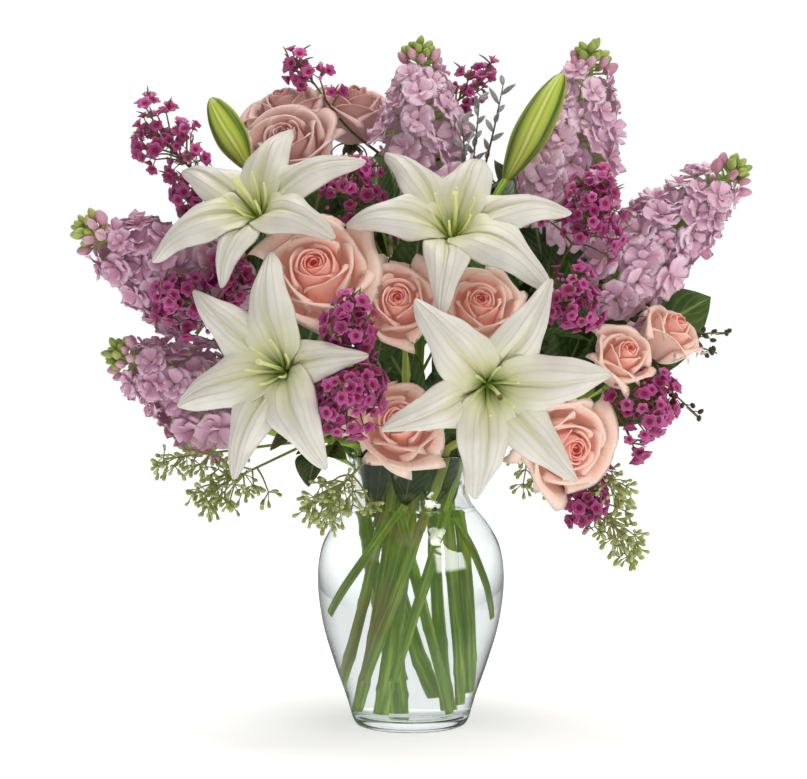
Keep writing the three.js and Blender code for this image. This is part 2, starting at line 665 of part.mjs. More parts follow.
function makeLily(lily, grow = 0) {
  const throat = turnedSolid([[0, -THROAT.back - grow], [3.2 + grow, -THROAT.back - grow],
    [7 + grow, THROAT.front + grow], [0, THROAT.front + grow]], 7);
  const tepals = lily.turns.map((_, k) => blade(tepalPoint(lily, k), k % 2 ? 2 : 4, 4, THIN + 2.4 * grow));
  return union([throat, ...tepals]);
}

// Pistil and six bare filaments on a small boss in the throat.
function makeFilaments(lily, grow = 0) {
  const foot = THROAT.front + GAP - grow;
  const top = foot + 4 + grow;
  const boss = turnedSolid([[0, foot], [2.4 + grow, foot], [3.2 + grow, top], [0, top]], 6);
  const pistil = tube([new THREE.Vector3(0, 0, foot + 2),
    new THREE.Vector3(1, -2, FILAMENT.pistilReach * lily.reach)], FILAMENT.pistil + grow, 4);
  const rods = Array.from({ length: 6 }, (_, k) => {
    const turn = (k / 6) * TAU + 0.35;
    const end = turned(FILAMENT.spread * lily.reach, turn, FILAMENT.reach * lily.reach);
    return tube([turned(1.4, turn, foot + 2), end], FILAMENT.radius + grow, 3);
  });
  return union([boss, pistil, ...rods]);
}

function makeBud(bud, grow = 0) {
  const length = vec(bud.tip).distanceTo(vec(bud.base));
  const outline = [[0, -0.03], [0.3, 0], [0.95, 0.42], [0.85, 0.72], [0.4, 0.93], [0, 1]];
  const body = turnedSolid(outline.map(([r, share]) => [r && r * bud.radius + grow, share * length]), 6);
  return moved(body, placement(vec(bud.base), spikeAxis(bud)));
}

function makeRose(rose, grow = 0) {
  const heart = [[0, 0], [0.26, 0], [0.3, 0.36], [0, 0.8]];
  const parts = [turnedSolid(heart.map(([r, h]) => [r && r * rose.radius + grow, h * rose.height]), 5)];
  ROSE_WHORLS.forEach((whorl, w) => {
    for (let k = 0; k < whorl.petals; k++) {
      const point = rosePetalPoint(rose, whorl, (k / whorl.petals) * TAU + 1.1 * w + rose.radius);
      parts.push(blade(point, 2, rose.radius < SMALL_ROSE ? 2 : whorl.along, THIN + 2 * grow));
    }
  });
  return union(parts);
}

// The hip under a rose, in the bloom's frame.
function makeHip(grow = 0) {
  return turnedSolid([[0, -8], [4.6 + grow, -4], [4.2 + grow, -GAP], [0, -GAP]], 5);
}

// ---------------------------------------------------------------- stocks
// The green part: the stem runs up through the spike and ends in a tuft of closed buds.
function stockGreen(row, stem) {
  const frame = placement(vec(row.tip).addScaledVector(spikeAxis(row), -SPIKE.tuft), spikeAxis(row));
  const parts = coursesOf(stem);
  const bud = new THREE.OctahedronGeometry(1);
  parts.push(moved(solid(bud.clone().scale(4.4, 4.4, 11).translate(0, 0, SPIKE.tuft - 11)), frame));
  for (let k = 0; k < 3; k++) {
    const [turn, height] = [k * GOLDEN, 5 + 3 * k];
    const at = turned(4.6, turn, height);
    const body = moved(solid(bud.clone().scale(3.6, 3.6, 7)), placement(at, turned(0.5, turn, 1)));
    parts.push(moved(body, frame));
  }
  return union(parts);
}

// One floret of a stock, `share` of the way up a spike of the given length, sunk in its core.
function stockFloret(share, turn, length, draw) {
  const lean = 0.1 + 0.7 * share + 0.2 * draw();
  const out = SPIKE.out - 6 * share * share;
  const depth = (out - 4.5) * Math.hypot(1, lean);
  const head = floret({ lobes: 4, radius: SPIKE.size - 4 * share * share, notch: 0.66, cup: 3.4, depth });
  const place = placement(turned(out, turn, 5 + share * (length - 6)), turned(1, turn, lean));
  return moved(head.rotate([0, 0, 90 * draw()]), place);
}

// The flowering part: florets that cover a slim core, with the stem's hole down its middle.
function stockFlowers(row, stem) {
  const frame = placement(vec(row.base), spikeAxis(row));
  const length = vec(row.tip).distanceTo(vec(row.base)) - SPIKE.tuft - 2;
  const core = turnedSolid([[0, 0], [SPIKE.core, 3], [SPIKE.core - 1, length - 1], [0, length]], 5);
  const count = Math.round(length / SPIKE.spacing);
  const draw = draws(count);
  const florets = [];
  for (let k = 0; k < count; k++) {
    const body = moved(stockFloret((k + 0.5) / count, k * GOLDEN, length, draw), frame);
    if (crossed(body, [row.name]).length === 0) florets.push(body);
  }
  return union([moved(core, frame), ...florets]).subtract(union(coursesOf(stem, GAP)));
}

// ---------------------------------------------------------------- sprays and leaves
const waxHead = (depth) => floret({ ...WAX_HEAD, depth });

function seedHead(depth) {
  const { stalk: thin, radius, back, front } = SEED_HEAD;
  return turnedSolid([[0, -depth], [thin, -depth], [thin, -back], [radius, 0.4], [0, front]], 3);
}

function makeLeaf(row, tip) {
  const start = mixed(leafJoint(row, tip), tip, -0.06);
  return blade(leafPoint(start, tip, LEAF.width * start.distanceTo(tip), LEAF.sag), 2, 3, THIN);
}

// Adds heads round the last stretch of a twig, each on its own stalk, where they cross nothing else.
function addHeads(heads, name, twig, { spread, count }, makeHead, seed) {
  const draw = draws(seed);
  const from = twig.end.clone().addScaledVector(twig.along, -twig.reach);
  const frame = placement(new THREE.Vector3(), twig.along);
  const wanted = heads.length + count;
  for (let k = 0; k < HEAD_TRIES * count && heads.length < wanted; k++) {
    const share = ((k % count) + 0.5) / count;
    const root = mixed(from, twig.end, share);
    const way = turned(1.2 - 0.9 * share + 0.2 * draw(), k * GOLDEN, 0.35 + 1.2 * share).applyMatrix4(frame);
    const at = root.clone().addScaledVector(way.normalize(), spread * (0.75 + 0.4 * draw()));
    const head = moved(makeHead(at.distanceTo(root)), placement(at, way));
    const isBare = heads.every((other) => other.intersect(head).isEmpty());
    if (isBare && crossed(head, [name]).length === 0) heads.push(head);
  }
}

// ---------------------------------------------------------------- assembly
const plants = combStems();
const plantOf = (name) => plants.find((row) => row.name === name);

// 1. The vase and the water, and the room that each stem takes.
addNode('vase', MATERIAL.glass, makeVase());
keepClearOf('vase', makeVase());
addNode('water', MATERIAL.water, makeWater(plants), new THREE.Matrix4(), ['vase']);
for (const row of plants) keepClearOf(row.name, union(coursesOf(row, GAP)));

// 2. The blooms.
for (const lily of LILIES) {
  const matrix = placement(vec(lily.at), vec(lily.facing));
  addNode(lily.name, MATERIAL.lily, moved(makeLily(lily), matrix), matrix);
  addNode(`${lily.name}_filaments`, MATERIAL.filament, moved(makeFilaments(lily), matrix), matrix);
  keepClearOf(lily.name, moved(makeLily(lily, GAP), matrix));
  keepClearOf(`${lily.name}_filaments`, moved(makeFilaments(lily, GAP), matrix));
}
for (const rose of ROSES) {
  const matrix = placement(roseBase(rose), vec(rose.facing));
  addNode(rose.name, rose.dusty ? MATERIAL.dustyRose : MATERIAL.rose, moved(makeRose(rose), matrix), matrix);
  keepClearOf(rose.name, moved(makeRose(rose, GAP), matrix));
}

// 3. Stems, with what grows on them.
for (const row of LILY_STEMS) {
  addNode(row.name, MATERIAL.stem, union([...coursesOf(plantOf(row.name)), makeBud(BUDS[row.bud])]));
  keepClearOf(row.name, makeBud(BUDS[row.bud], GAP));
}
for (const row of ROSE_STEMS) {
  const hips = row.blooms.map((k) => placement(roseBase(ROSES[k]), vec(ROSES[k].facing)));
  addNode(row.name, MATERIAL.stem, union([...coursesOf(plantOf(row.name)),
    ...hips.map((matrix) => moved(makeHip(), matrix))]));
  for (const matrix of hips) keepClearOf(row.name, moved(makeHip(GAP), matrix));
}
for (const row of STOCKS) {
  const green = stockGreen(row, plantOf(row.name));
  addNode(`${row.name}_stem`, MATERIAL.stem, green, new THREE.Matrix4(), [row.name]);
  keepClearOf(`${row.name}_stem`, green);
}
for (const row of STOCKS) {
  const flowers = stockFlowers(row, plantOf(row.name));
  const mates = [row.name, `${row.name}_stem`];
  addNode(`${row.name}_flowers`, MATERIAL.stock, flowers, new THREE.Matrix4(), mates);
  keepClearOf(`${row.name}_flowers`, flowers);
}

// 4. The sprays that fill the gaps between them.
function addSpray(spray, material, makeHead, seed) {
  const row = plantOf(spray.name);
  const heads = [];
  spray.clumps.forEach((clump, k) => {
    addHeads(heads, spray.name, row.stalks[k], clump, makeHead, seed + 7 * k);
  });
  const body = union([...coursesOf(row), ...heads]);
  addNode(spray.name, material, body);
  keepClearOf(spray.name, body);
}
WAXFLOWERS.forEach((spray, seed) => addSpray(spray, MATERIAL.wax, waxHead, seed));
SEEDED.forEach((spray, seed) => addSpray(spray, MATERIAL.seeded, seedHead, seed + 40));
for (const row of GREENS) {
  const leaves = row.leaves.map((tip) => makeLeaf(row, vec(tip)));
  const body = union([...coursesOf(plantOf(row.name)), ...leaves]);
  addNode(row.name, MATERIAL.leaf, body);
  keepClearOf(row.name, body);
}

export default group;
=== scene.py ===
# %% [markdown]
# # Lilies in a vase
#
# A florist's bouquet: white lilies, pink roses, lilac stock, magenta waxflower, seeded eucalyptus and
# leaves, in a clear glass vase of water. A flower is a poor subject for modelling by hand, because one
# bloom is made of dozens of nearly equal parts. It suits rules well: a petal is a curve that is swept
# sideways, a spray is one small flower set many times round a twig. So each kind of bloom gets a rule
# with a few numbers, and the rule is run for every bloom with its own place and size.
#
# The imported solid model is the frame. Its blooms stand where ours do, so both use the same table of
# places. Sizes here are in millimetres, and become metres when a mesh is made.

# %% Load the frame
import json
import math

import bmesh
import bpy
import numpy as np
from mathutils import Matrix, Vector
from mathutils.bvhtree import BVHTree

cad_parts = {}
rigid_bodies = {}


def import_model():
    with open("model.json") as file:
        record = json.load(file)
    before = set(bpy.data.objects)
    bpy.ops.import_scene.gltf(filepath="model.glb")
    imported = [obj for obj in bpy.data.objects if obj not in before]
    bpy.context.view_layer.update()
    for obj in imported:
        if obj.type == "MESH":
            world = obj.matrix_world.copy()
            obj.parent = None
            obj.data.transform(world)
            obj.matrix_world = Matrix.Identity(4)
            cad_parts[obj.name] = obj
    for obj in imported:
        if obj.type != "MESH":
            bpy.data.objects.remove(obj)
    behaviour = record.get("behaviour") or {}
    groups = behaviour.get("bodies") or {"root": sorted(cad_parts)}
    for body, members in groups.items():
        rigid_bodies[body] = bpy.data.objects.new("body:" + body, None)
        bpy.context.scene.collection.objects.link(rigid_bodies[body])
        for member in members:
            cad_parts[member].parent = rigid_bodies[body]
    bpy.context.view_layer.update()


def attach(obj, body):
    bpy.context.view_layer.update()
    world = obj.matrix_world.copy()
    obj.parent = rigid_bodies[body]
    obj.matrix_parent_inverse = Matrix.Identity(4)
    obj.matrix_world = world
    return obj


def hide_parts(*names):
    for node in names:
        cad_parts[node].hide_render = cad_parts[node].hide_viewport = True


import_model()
MM = 0.001
TAU = 2 * math.pi
GOLDEN = 2.39996

# %% [markdown]
# ## Where everything is
#
# Each bloom has a place and a way that it faces. A lily also has the six ways that its tepals point,
# in degrees from its right. The axes are those of the frame: x to the right, y away from the viewer,
# z up, and the origin under the middle of the vase.

# %% The table of blooms
LILIES = {
    "lily_upper_left": ((-96, -78, 340), (-0.3, -0.75, 0.55), 78, (84, 29, -18, -100, -150, -208)),
    "lily_upper_right": ((26, -98, 326), (0, -0.75, 0.65), 80, (176, 123, 73, 10, -40, -97)),
    "lily_lower_left": ((-78, -118, 244), (-0.35, -0.9, 0.2), 80, (199, 142, 100, 9, -60, -109)),
    "lily_lower_right": ((47, -138, 238), (0.1, -0.97, -0.1), 84, (202, 131, 60, 5, -47, -96)),
}
LILY_BUDS = {
    "bud_left": ((-108, -40, 377), (-132, -45, 423), 11),
    "bud_right": ((63, -35, 370), (101, -30, 440), 12),
}
ROSES = {
    "rose_left": ((-62, -117, 314), (-0.1, -0.86, 0.5), 37, 36),
    "rose_middle": ((-9, -127, 292), (-0.1, -0.93, 0.35), 27, 35),
    "rose_right": ((45, -98, 291), (0.1, -0.85, 0.5), 27, 33),
    "rose_low": ((-8, -112, 215), (-0.05, -0.9, 0.42), 29, 34),
    "rose_low_right": ((107, -88, 193), (0.45, -0.85, -0.1), 33, 38),
    "spray_rose_1": ((143, -70, 259), (0.3, -0.75, 0.5), 21, 34),
    "spray_rose_2": ((180, -35, 277), (0.55, -0.45, 0.7), 22, 34),
    "spray_rose_3": ((-88, 20, 426), (-0.3, -0.35, 0.88), 27, 32),
    "spray_rose_4": ((-38, 28, 429), (0.1, -0.35, 0.92), 25, 32),
    "spray_rose_5": ((-84, -30, 398), (-0.2, -0.75, 0.65), 28, 32),
    "back_rose_1": ((78, 128, 318), (0.4, 0.85, 0.4), 31, 35),
    "back_rose_2": ((-62, 135, 300), (-0.3, 0.9, 0.35), 31, 35),
}
STOCKS = {
    "stock_left": ((-122, -28, 287), (-222, -46, 341)),
    "stock_low_left": ((-112, -36, 213), (-201, -60, 259)),
    "stock_top": ((8, 4, 342), (6, -4, 467)),
    "stock_top_right": ((92, 4, 322), (124, 0, 465)),
    "stock_right": ((124, -2, 288), (225, -20, 384)),
    "stock_back": ((4, 84, 326), (4, 150, 425)),
}
print("blooms:", len(LILIES), "lilies,", len(ROSES), "roses,", len(STOCKS), "stocks")

# %% [markdown]
# A spray has a root, and clumps: the middle of each, and how far its flowers or seeds reach. A green has
# a root and the tips of its leaves. A stem that forks has the place of its fork, and what it carries.

# %% The table of sprays
WAXFLOWERS = {
    "waxflower_left": ((-108, -22, 338), [((-171, -30, 402), 26), ((-146, -37, 362), 16)]),
    "waxflower_mid_left": ((-104, -44, 282), [((-152, -76, 292), 22), ((-122, -70, 306), 14)]),
    "waxflower_upper": ((-26, -28, 335), [((-40, -66, 364), 24)]),
    "waxflower_centre": ((-34, -84, 256), [((-38, -138, 276), 22), ((-42, -142, 230), 28)]),
    "waxflower_right": ((88, -36, 296), [((122, -66, 354), 26), ((104, -84, 288), 20)]),
    "waxflower_low_right": ((104, -22, 214), [((156, -56, 222), 28), ((116, -62, 152), 16)]),
    "waxflower_top": ((-14, 26, 385), [((-79, 14, 452), 15), ((50, 14, 442), 15)]),
}
SEEDED = {
    "seeded_eucalyptus_left": ((-64, -22, 196), [((-133, -92, 166), 20), ((-160, -84, 187), 14)]),
    "seeded_eucalyptus_front": ((-20, -70, 195), [((-54, -116, 162), 24)]),
    "seeded_eucalyptus_right": ((84, -14, 196), [((136, -62, 168), 17), ((146, -64, 128), 20)]),
    "seeded_eucalyptus_back": ((52, 70, 200), [((104, 112, 168), 24)]),
}
GREENS = {
    "greenery_left": ((-50, -44, 203), [(-66, -98, 170), (-92, -78, 192)]),
    "greenery_right": ((78, 6, 214), [(205, 8, 292), (176, 10, 222), (150, 60, 240)]),
    "greenery_middle": ((60, -16, 262), [(92, -62, 322), (122, -44, 262), (66, 56, 316)]),
    "greenery_back": ((-34, 66, 218), [(-118, 92, 262), (-96, 112, 206), (8, 142, 214)]),
}
LILY_STEMS = {
    "lily_stem_left": ((-52, -22, 282), ("lily_upper_left", "lily_lower_left"), "bud_left"),
    "lily_stem_right": ((38, -18, 288), ("lily_upper_right", "lily_lower_right"), "bud_right"),
}
ROSE_STEMS = {
    "rose_stem_left": (None, ("rose_left",)),
    "rose_stem_middle": (None, ("rose_middle",)),
    "rose_stem_right": (None, ("rose_right",)),
    "rose_stem_low": (None, ("rose_low",)),
    "rose_stem_low_right": (None, ("rose_low_right",)),
    "spray_rose_stem_right": ((118, -20, 225), ("spray_rose_1", "spray_rose_2")),
    "spray_rose_stem_top": ((-52, 14, 355), ("spray_rose_3", "spray_rose_4", "spray_rose_5")),
    "spray_rose_stem_back": ((6, 66, 262), ("back_rose_1", "back_rose_2")),
}
print("sprays:", len(WAXFLOWERS) + len(SEEDED) + len(GREENS))

# %% [markdown]
# ## Directions and curves
#
# A few small helpers carry the whole file. `unit` gives a direction, `stand` gives a bloom its own
# axes (its z looks the way the bloom faces), `bezier` runs a smooth curve between a few points, and
# `smooth_line` runs one through many.

# %% Helpers for directions and curves
def vec(v):
    return np.array(v, float)


def mixed(a, b, t):
    """What lies between a and b, at the share t of the way."""
    return a + (b - a) * t


def unit(v):
    v = np.asarray(v, float)
    return v / np.maximum(np.linalg.norm(v, axis=-1, keepdims=True), 1e-12)


def stand(points, at, facing):
    """Moves points from a bloom's own frame, where it looks along z, to its place in the bouquet."""
    z = unit(facing)
    up = np.array((0, 1, 0) if abs(z[2]) > 0.98 else (0, 0, 1), float)
    y = unit(up - z * (up @ z))
    return np.asarray(points, float) @ np.array([np.cross(y, z), y, z]) + np.asarray(at, float)


def bezier(corners, t):
    """Points of a cubic curve, and its directions, at t."""
    p = np.asarray(corners, float).reshape((4,) + (1,) * np.ndim(t) + (-1,))
    t = np.asarray(t, float)[..., None]
    s = 1 - t
    at = s**3 * p[0] + 3 * s * s * t * p[1] + 3 * s * t * t * p[2] + t**3 * p[3]
    way = s * s * (p[1] - p[0]) + 2 * s * t * (p[2] - p[1]) + t * t * (p[3] - p[2])
    return at, unit(way)


def smooth_line(stations, per=8):
    """A smooth curve through stations, by the rule of Catmull and Rom."""
    p = np.asarray(stations, float)
    p = np.concatenate([[2 * p[0] - p[1]], p, [2 * p[-1] - p[-2]]])
    t = np.linspace(0, 1, per, endpoint=False)[:, None]
    runs = [0.5 * (2 * b + (c - a) * t + (2 * a - 5 * b + 4 * c - d) * t**2 + (3 * b - a - 3 * c + d) * t**3)
            for a, b, c, d in zip(p, p[1:], p[2:], p[3:])]
    return np.concatenate(runs + [p[-2:-1]])


def turned(out, turn, height):
    """Points at a distance from an axis, turned round it, at a height."""
    out, turn, height = np.broadcast_arrays(out, turn, height)
    return np.stack([out * np.cos(turn), out * np.sin(turn), height], -1)


def step(low, high, x):
    """0 below low, 1 above high, and a smooth rise between them."""
    t = np.clip((x - low) / (high - low), 0, 1)
    return t * t * (3 - 2 * t)


print("a bloom that faces the viewer looks along", stand([(0, 0, 1)], (0, 0, 0), (0, -1, 0))[0].round(3))

# %% [markdown]
# ## From points to a mesh
#
# A petal has to be a thin closed body, because a sheet with no thickness shades wrongly at its edge.
# `shell` takes a grid of points on the petal's middle, moves one copy to each side, and lets the two
# meet at the rim. Each point also keeps where it is on the petal: how far along, how far across, and
# a number that is the petal's own. The materials read those three for veins and for colour.

# %% Grids and shells
def along_and_across(rows, cols):
    """The two numbers of each point of a grid: v from 0 to 1 along, and u from -1 to 1 across."""
    return np.meshgrid(np.linspace(0, 1, rows), np.linspace(-1, 1, cols), indexing="ij")


def grid_faces(rows, cols, first=0, closed=False):
    """The faces of a grid of points, row by row. A closed grid joins its last column to its first."""
    j, i = np.meshgrid(np.arange(rows - 1), np.arange(cols if closed else cols - 1), indexing="ij")
    a, b = j * cols + i, j * cols + (i + 1) % cols
    return (np.stack([a, b, b + cols, a + cols], -1).reshape(-1, 4) + first).astype(int)


def shell(middle, thick, own=0.0):
    """A petal as (points, faces, traits), from its middle as a grid of rows along and columns across."""
    rows, cols = middle.shape[:2]
    normal = unit(np.cross(np.gradient(middle, axis=1), np.gradient(middle, axis=0)))
    v, u = along_and_across(rows, cols)
    inside = (np.abs(u) < 0.999) & (v > 0) & (v < 1)
    half = 0.5 * thick * np.where(inside, np.sqrt(1.0 - np.abs(u) ** 3), 0)[..., None]
    upper = (middle + normal * half).reshape(-1, 3)
    lower = (middle - normal * half).reshape(-1, 3)[inside.ravel()]
    below = np.arange(rows * cols)
    below[inside.ravel()] = rows * cols + np.arange(len(lower))
    top = grid_faces(rows, cols)
    traits = np.stack([v, u, np.full_like(v, own)], -1).reshape(-1, 3)
    return (np.concatenate([upper, lower]), np.concatenate([top, below[top][:, ::-1]]),
            np.concatenate([traits, traits[inside.ravel()]]))


print("a petal of 5 by 4 points has", len(shell(np.random.RandomState(0).rand(5, 4, 3), 1)[1]), "faces")

# %% [markdown]
# The vase, hips, buds and seeds are bodies of revolution: an outline that is turned round an axis.

# %% Turned bodies
def turned_body(profile, sides, wobble=None, own=0.0):
    """A body of revolution about z, from (radius, height) stations. `wobble` makes its girth uneven."""
    profile = np.asarray(profile, float)
    t = np.linspace(0, 1, len(profile))
    turn, along = np.meshgrid(np.arange(sides) * TAU / sides, t)
    girth = profile[:, :1] * (wobble(turn, along) if wobble else 1)
    points = turned(girth, turn, profile[:, 1:]).reshape(-1, 3)
    traits = np.stack([along, np.cos(turn), np.full_like(along, own)], -1).reshape(-1, 3)
    return points, grid_faces(len(profile), sides, closed=True), traits


def joined(parts):
    """Several (points, faces, traits) as one."""
    points, faces, traits, first = [], [], [], 0
    for p, f, t in parts:
        points.append(p)
        faces.append(np.asarray(f) + first)
        traits.append(t)
        first += len(p)
    return np.concatenate(points), np.concatenate(faces), np.concatenate(traits)


def moved(part, at, facing):
    return stand(part[0], at, facing), part[1], part[2]


print("a cylinder of 6 sides has", len(turned_body([(0, 0), (1, 0), (1, 1), (0, 1)], 6)[1]), "faces")

# %% [markdown]
# The points become a mesh object whose own place is the origin, as a finished piece's has to be.
# Where a petal runs out to a point, a whole row of the grid falls together, so near points are merged.
# `noted` writes numbers on the points, which materials and geometry nodes can read by name.

# %% From numbers to an object
def noted(mesh, **columns):
    """Writes a number, a whole number or a direction on each point of a mesh."""
    for name, values in columns.items():
        values = np.asarray(values)
        kind = "FLOAT_VECTOR" if values.ndim == 2 else "INT" if values.dtype.kind == "i" else "FLOAT"
        field = "vector" if kind == "FLOAT_VECTOR" else "value"
        values = values if kind == "INT" else values.astype(np.float32)
        mesh.attributes.new(name, kind, "POINT").data.foreach_set(field, values.ravel())


def piece(name, part, material):
    """An object from (points, faces, traits), in millimetres, with near points merged."""
    points, faces, traits = part
    mesh = bpy.data.meshes.new(name)
    mesh.from_pydata((points * MM).tolist(), [], [list(map(int, face)) for face in faces])
    noted(mesh, grain=traits)
    made = bmesh.new()
    made.from_mesh(mesh)
    bmesh.ops.remove_doubles(made, verts=made.verts, dist=2e-6)
    bmesh.ops.dissolve_degenerate(made, edges=made.edges, dist=1e-7)
    made.to_mesh(mesh)
    made.free()
    mesh.polygons.foreach_set("use_smooth", [True] * len(mesh.polygons))
    mesh.materials.append(material)
    item = bpy.data.objects.new(name, mesh)
    bpy.context.scene.collection.objects.link(item)
    return item


def finished(item, slot_name, *nodes):
    """Tells the frame what a finished piece rides on and what it stands for, and prints its triangles.
    `slot_name`, where its finish comes from, is not used.
    """
    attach(item, "root")
    if nodes:
        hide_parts(*nodes)
    item.data.calc_loop_triangles()
    print(f"{item.name}: {len(item.data.loop_triangles)} triangles")
    return item

# %% [markdown]
# ## Two trees of geometry nodes
#
# Stems, twigs and filaments are all the same thing: a round section that follows a line and gets
# thicker and thinner. Florets, small flowers, seeds and buds are another: one shape set many times,
# each with its own place, way, turn and size. Each of the two is one tree of nodes, with its sizes as
# inputs, so every piece of that sort is made alike. Instances are made real at the end.

# %% Helpers for node trees
def paint(code):
    """A screen colour as the linear one that Blender works in."""
    parts = [int(code[i:i + 2], 16) / 255 for i in (1, 3, 5)]
    return [p / 12.92 if p < 0.04045 else ((p + 0.055) / 1.055) ** 2.4 for p in parts] + [1.0]


def put(tree, socket, value):
    """Gives an input another node's socket, a colour such as #aabbcc, or a plain value."""
    if isinstance(value, bpy.types.NodeSocket):
        tree.links.new(value, socket)
    else:
        socket.default_value = paint(value) if isinstance(value, str) and value.startswith("#") else value


def add(tree, kind, inputs=None, **settings):
    """A new node in any tree, with its settings and what goes into its inputs."""
    made = tree.nodes.new(kind)
    for key, value in settings.items():
        setattr(made, key, value)
    for key, value in (inputs or {}).items():
        put(tree, made.inputs[key], value)
    return made


def new_tree(name, kind, inputs, outputs):
    """A tree of its own, with the nodes that hold its named inputs and outputs."""
    tree = bpy.data.node_groups.new(name, kind)
    for label, socket, start in inputs:
        made = tree.interface.new_socket(label, in_out="INPUT", socket_type="NodeSocket" + socket)
        if start is not None:
            made.default_value = start
    for label, socket in outputs:
        tree.interface.new_socket(label, in_out="OUTPUT", socket_type="NodeSocket" + socket)
    return tree, tree.nodes.new("NodeGroupInput").outputs, tree.nodes.new("NodeGroupOutput").inputs


print("ivory in linear light:", [round(v, 3) for v in paint("#f3f0e6")[:3]])

# %% [markdown]
# Most nodes in a tree do a small sum. A short name for each kind of sum lets a tree read like a formula.

# %% Sums with nodes
def calc(tree, operation, a, b=0.0, c=0.0, clamp=False):
    return add(tree, "ShaderNodeMath", {0: a, 1: b, 2: c}, operation=operation, use_clamp=clamp).outputs[0]


def times(tree, first, *more):
    for factor in more:
        first = calc(tree, "MULTIPLY", first, factor)
    return first


def ramp(tree, value, low, high, bottom=0.0, top=1.0, shape="LINEAR"):
    """An even change from bottom to top while the value goes from low to high."""
    return add(tree, "ShaderNodeMapRange", {
        "Value": value, "From Min": low, "From Max": high, "To Min": bottom, "To Max": top},
        interpolation_type=shape).outputs[0]


def rise(tree, value, low, high, bottom=0.0, top=1.0):
    """The same change, with a smooth start and end."""
    return ramp(tree, value, low, high, bottom, top, "SMOOTHSTEP")


def either(tree, factor, a, b):
    """One number where the factor is 0, and the other where it is 1."""
    return add(tree, "ShaderNodeMix", {0: factor, 2: a, 3: b}, data_type="FLOAT").outputs[0]


def blend(tree, colour, *layers):
    """A colour with others laid over it. Each layer is a mask and its colour."""
    for mask, over in layers:
        colour = add(tree, "ShaderNodeMix", {0: mask, 6: colour, 7: over}, data_type="RGBA").outputs[2]
    return colour


def split(tree, vector):
    return add(tree, "ShaderNodeSeparateXYZ", {"Vector": vector}).outputs


def bundle(tree, *numbers):
    return add(tree, "ShaderNodeCombineXYZ", dict(enumerate(numbers))).outputs[0]


print("sums with nodes: calc, times, ramp, rise, either, blend, split, bundle")

# %% [markdown]
# A stem needs three things: a line, how thick it is at each point of the line, and how green it is.
# The tree reads the last two from the points, and notes on the rod how far along and round a point is.

# %% The tree that sweeps a round section along lines
def named(tree, name, kind="FLOAT"):
    return add(tree, "GeometryNodeInputNamedAttribute", {"Name": name}, data_type=kind).outputs["Attribute"]


def keep(tree, geometry, name, value, kind="FLOAT"):
    return add(tree, "GeometryNodeStoreNamedAttribute", {"Geometry": geometry, "Name": name, "Value": value},
               data_type=kind, domain="POINT").outputs[0]


def ended(tree, geometry, finish, output):
    """The end of every tree: real geometry, smooth, with its material."""
    real = add(tree, "GeometryNodeRealizeInstances", {"Geometry": geometry}).outputs[0]
    smooth = add(tree, "GeometryNodeSetShadeSmooth", {"Geometry": real}).outputs[0]
    dressed = add(tree, "GeometryNodeSetMaterial", {"Geometry": smooth, "Material": finish}).outputs[0]
    put(tree, output, dressed)


SWEEP, given, result = new_tree("swept_stems", "GeometryNodeTree", [
    ("Lines", "Geometry", None), ("Sides", "Int", 8), ("Finish", "Material", None)], [("Swept", "Geometry")])
line = add(SWEEP, "GeometryNodeMeshToCurve", {"Mesh": given["Lines"]}).outputs[0]
reach = add(SWEEP, "GeometryNodeSplineParameter").outputs
grain = bundle(SWEEP, reach["Factor"], reach["Length"], named(SWEEP, "tone"))
line = keep(SWEEP, line, "grain", grain, "FLOAT_VECTOR")
ring = add(SWEEP, "GeometryNodeCurvePrimitiveCircle", {"Resolution": given["Sides"], "Radius": 1.0})
around = add(SWEEP, "GeometryNodeSplineParameter").outputs["Factor"]
ring = keep(SWEEP, ring.outputs[0], "around", around)
rods = add(SWEEP, "GeometryNodeCurveToMesh", {
    "Curve": line, "Profile Curve": ring, "Scale": named(SWEEP, "thick"), "Fill Caps": True}).outputs[0]
ended(SWEEP, rods, given["Finish"], result["Swept"])
print("sweeping tree:", len(SWEEP.nodes), "nodes")

# %% [markdown]
# A shape that is set many times needs a place, a way to look, a turn about that way and a size, and
# which of a few shapes it is. The tree reads these from the points too.

# %% The tree that sets a shape many times
SCATTER, given, result = new_tree("set_many_times", "GeometryNodeTree", [
    ("Places", "Geometry", None), ("Shapes", "Collection", None), ("Finish", "Material", None),
    ("Size", "Float", 1.0)], [("Set", "Geometry")])
shapes = add(SCATTER, "GeometryNodeCollectionInfo", {
    "Collection": given["Shapes"], "Separate Children": True, "Reset Children": True}).outputs[0]
facing = add(SCATTER, "FunctionNodeAlignRotationToVector", {
    "Vector": named(SCATTER, "facing", "FLOAT_VECTOR")}, axis="Z").outputs[0]
spin = add(SCATTER, "FunctionNodeAxisAngleToRotation", {
    "Axis": (0, 0, 1), "Angle": named(SCATTER, "spin")}).outputs[0]
way = add(SCATTER, "FunctionNodeRotateRotation", {"Rotation": facing, "Rotate By": spin},
          rotation_space="LOCAL").outputs[0]
many = add(SCATTER, "GeometryNodeInstanceOnPoints", {
    "Points": given["Places"], "Instance": shapes, "Pick Instance": True,
    "Instance Index": named(SCATTER, "pick", "INT"), "Rotation": way,
    "Scale": times(SCATTER, named(SCATTER, "size"), given["Size"])}).outputs[0]
ended(SCATTER, many, given["Finish"], result["Set"])
print("setting tree:", len(SCATTER.nodes), "nodes")

# %% [markdown]
# `grown` runs a tree on a small mesh of points and keeps the result as a plain mesh, because a live
# modifier would be lost when the object is handed on.

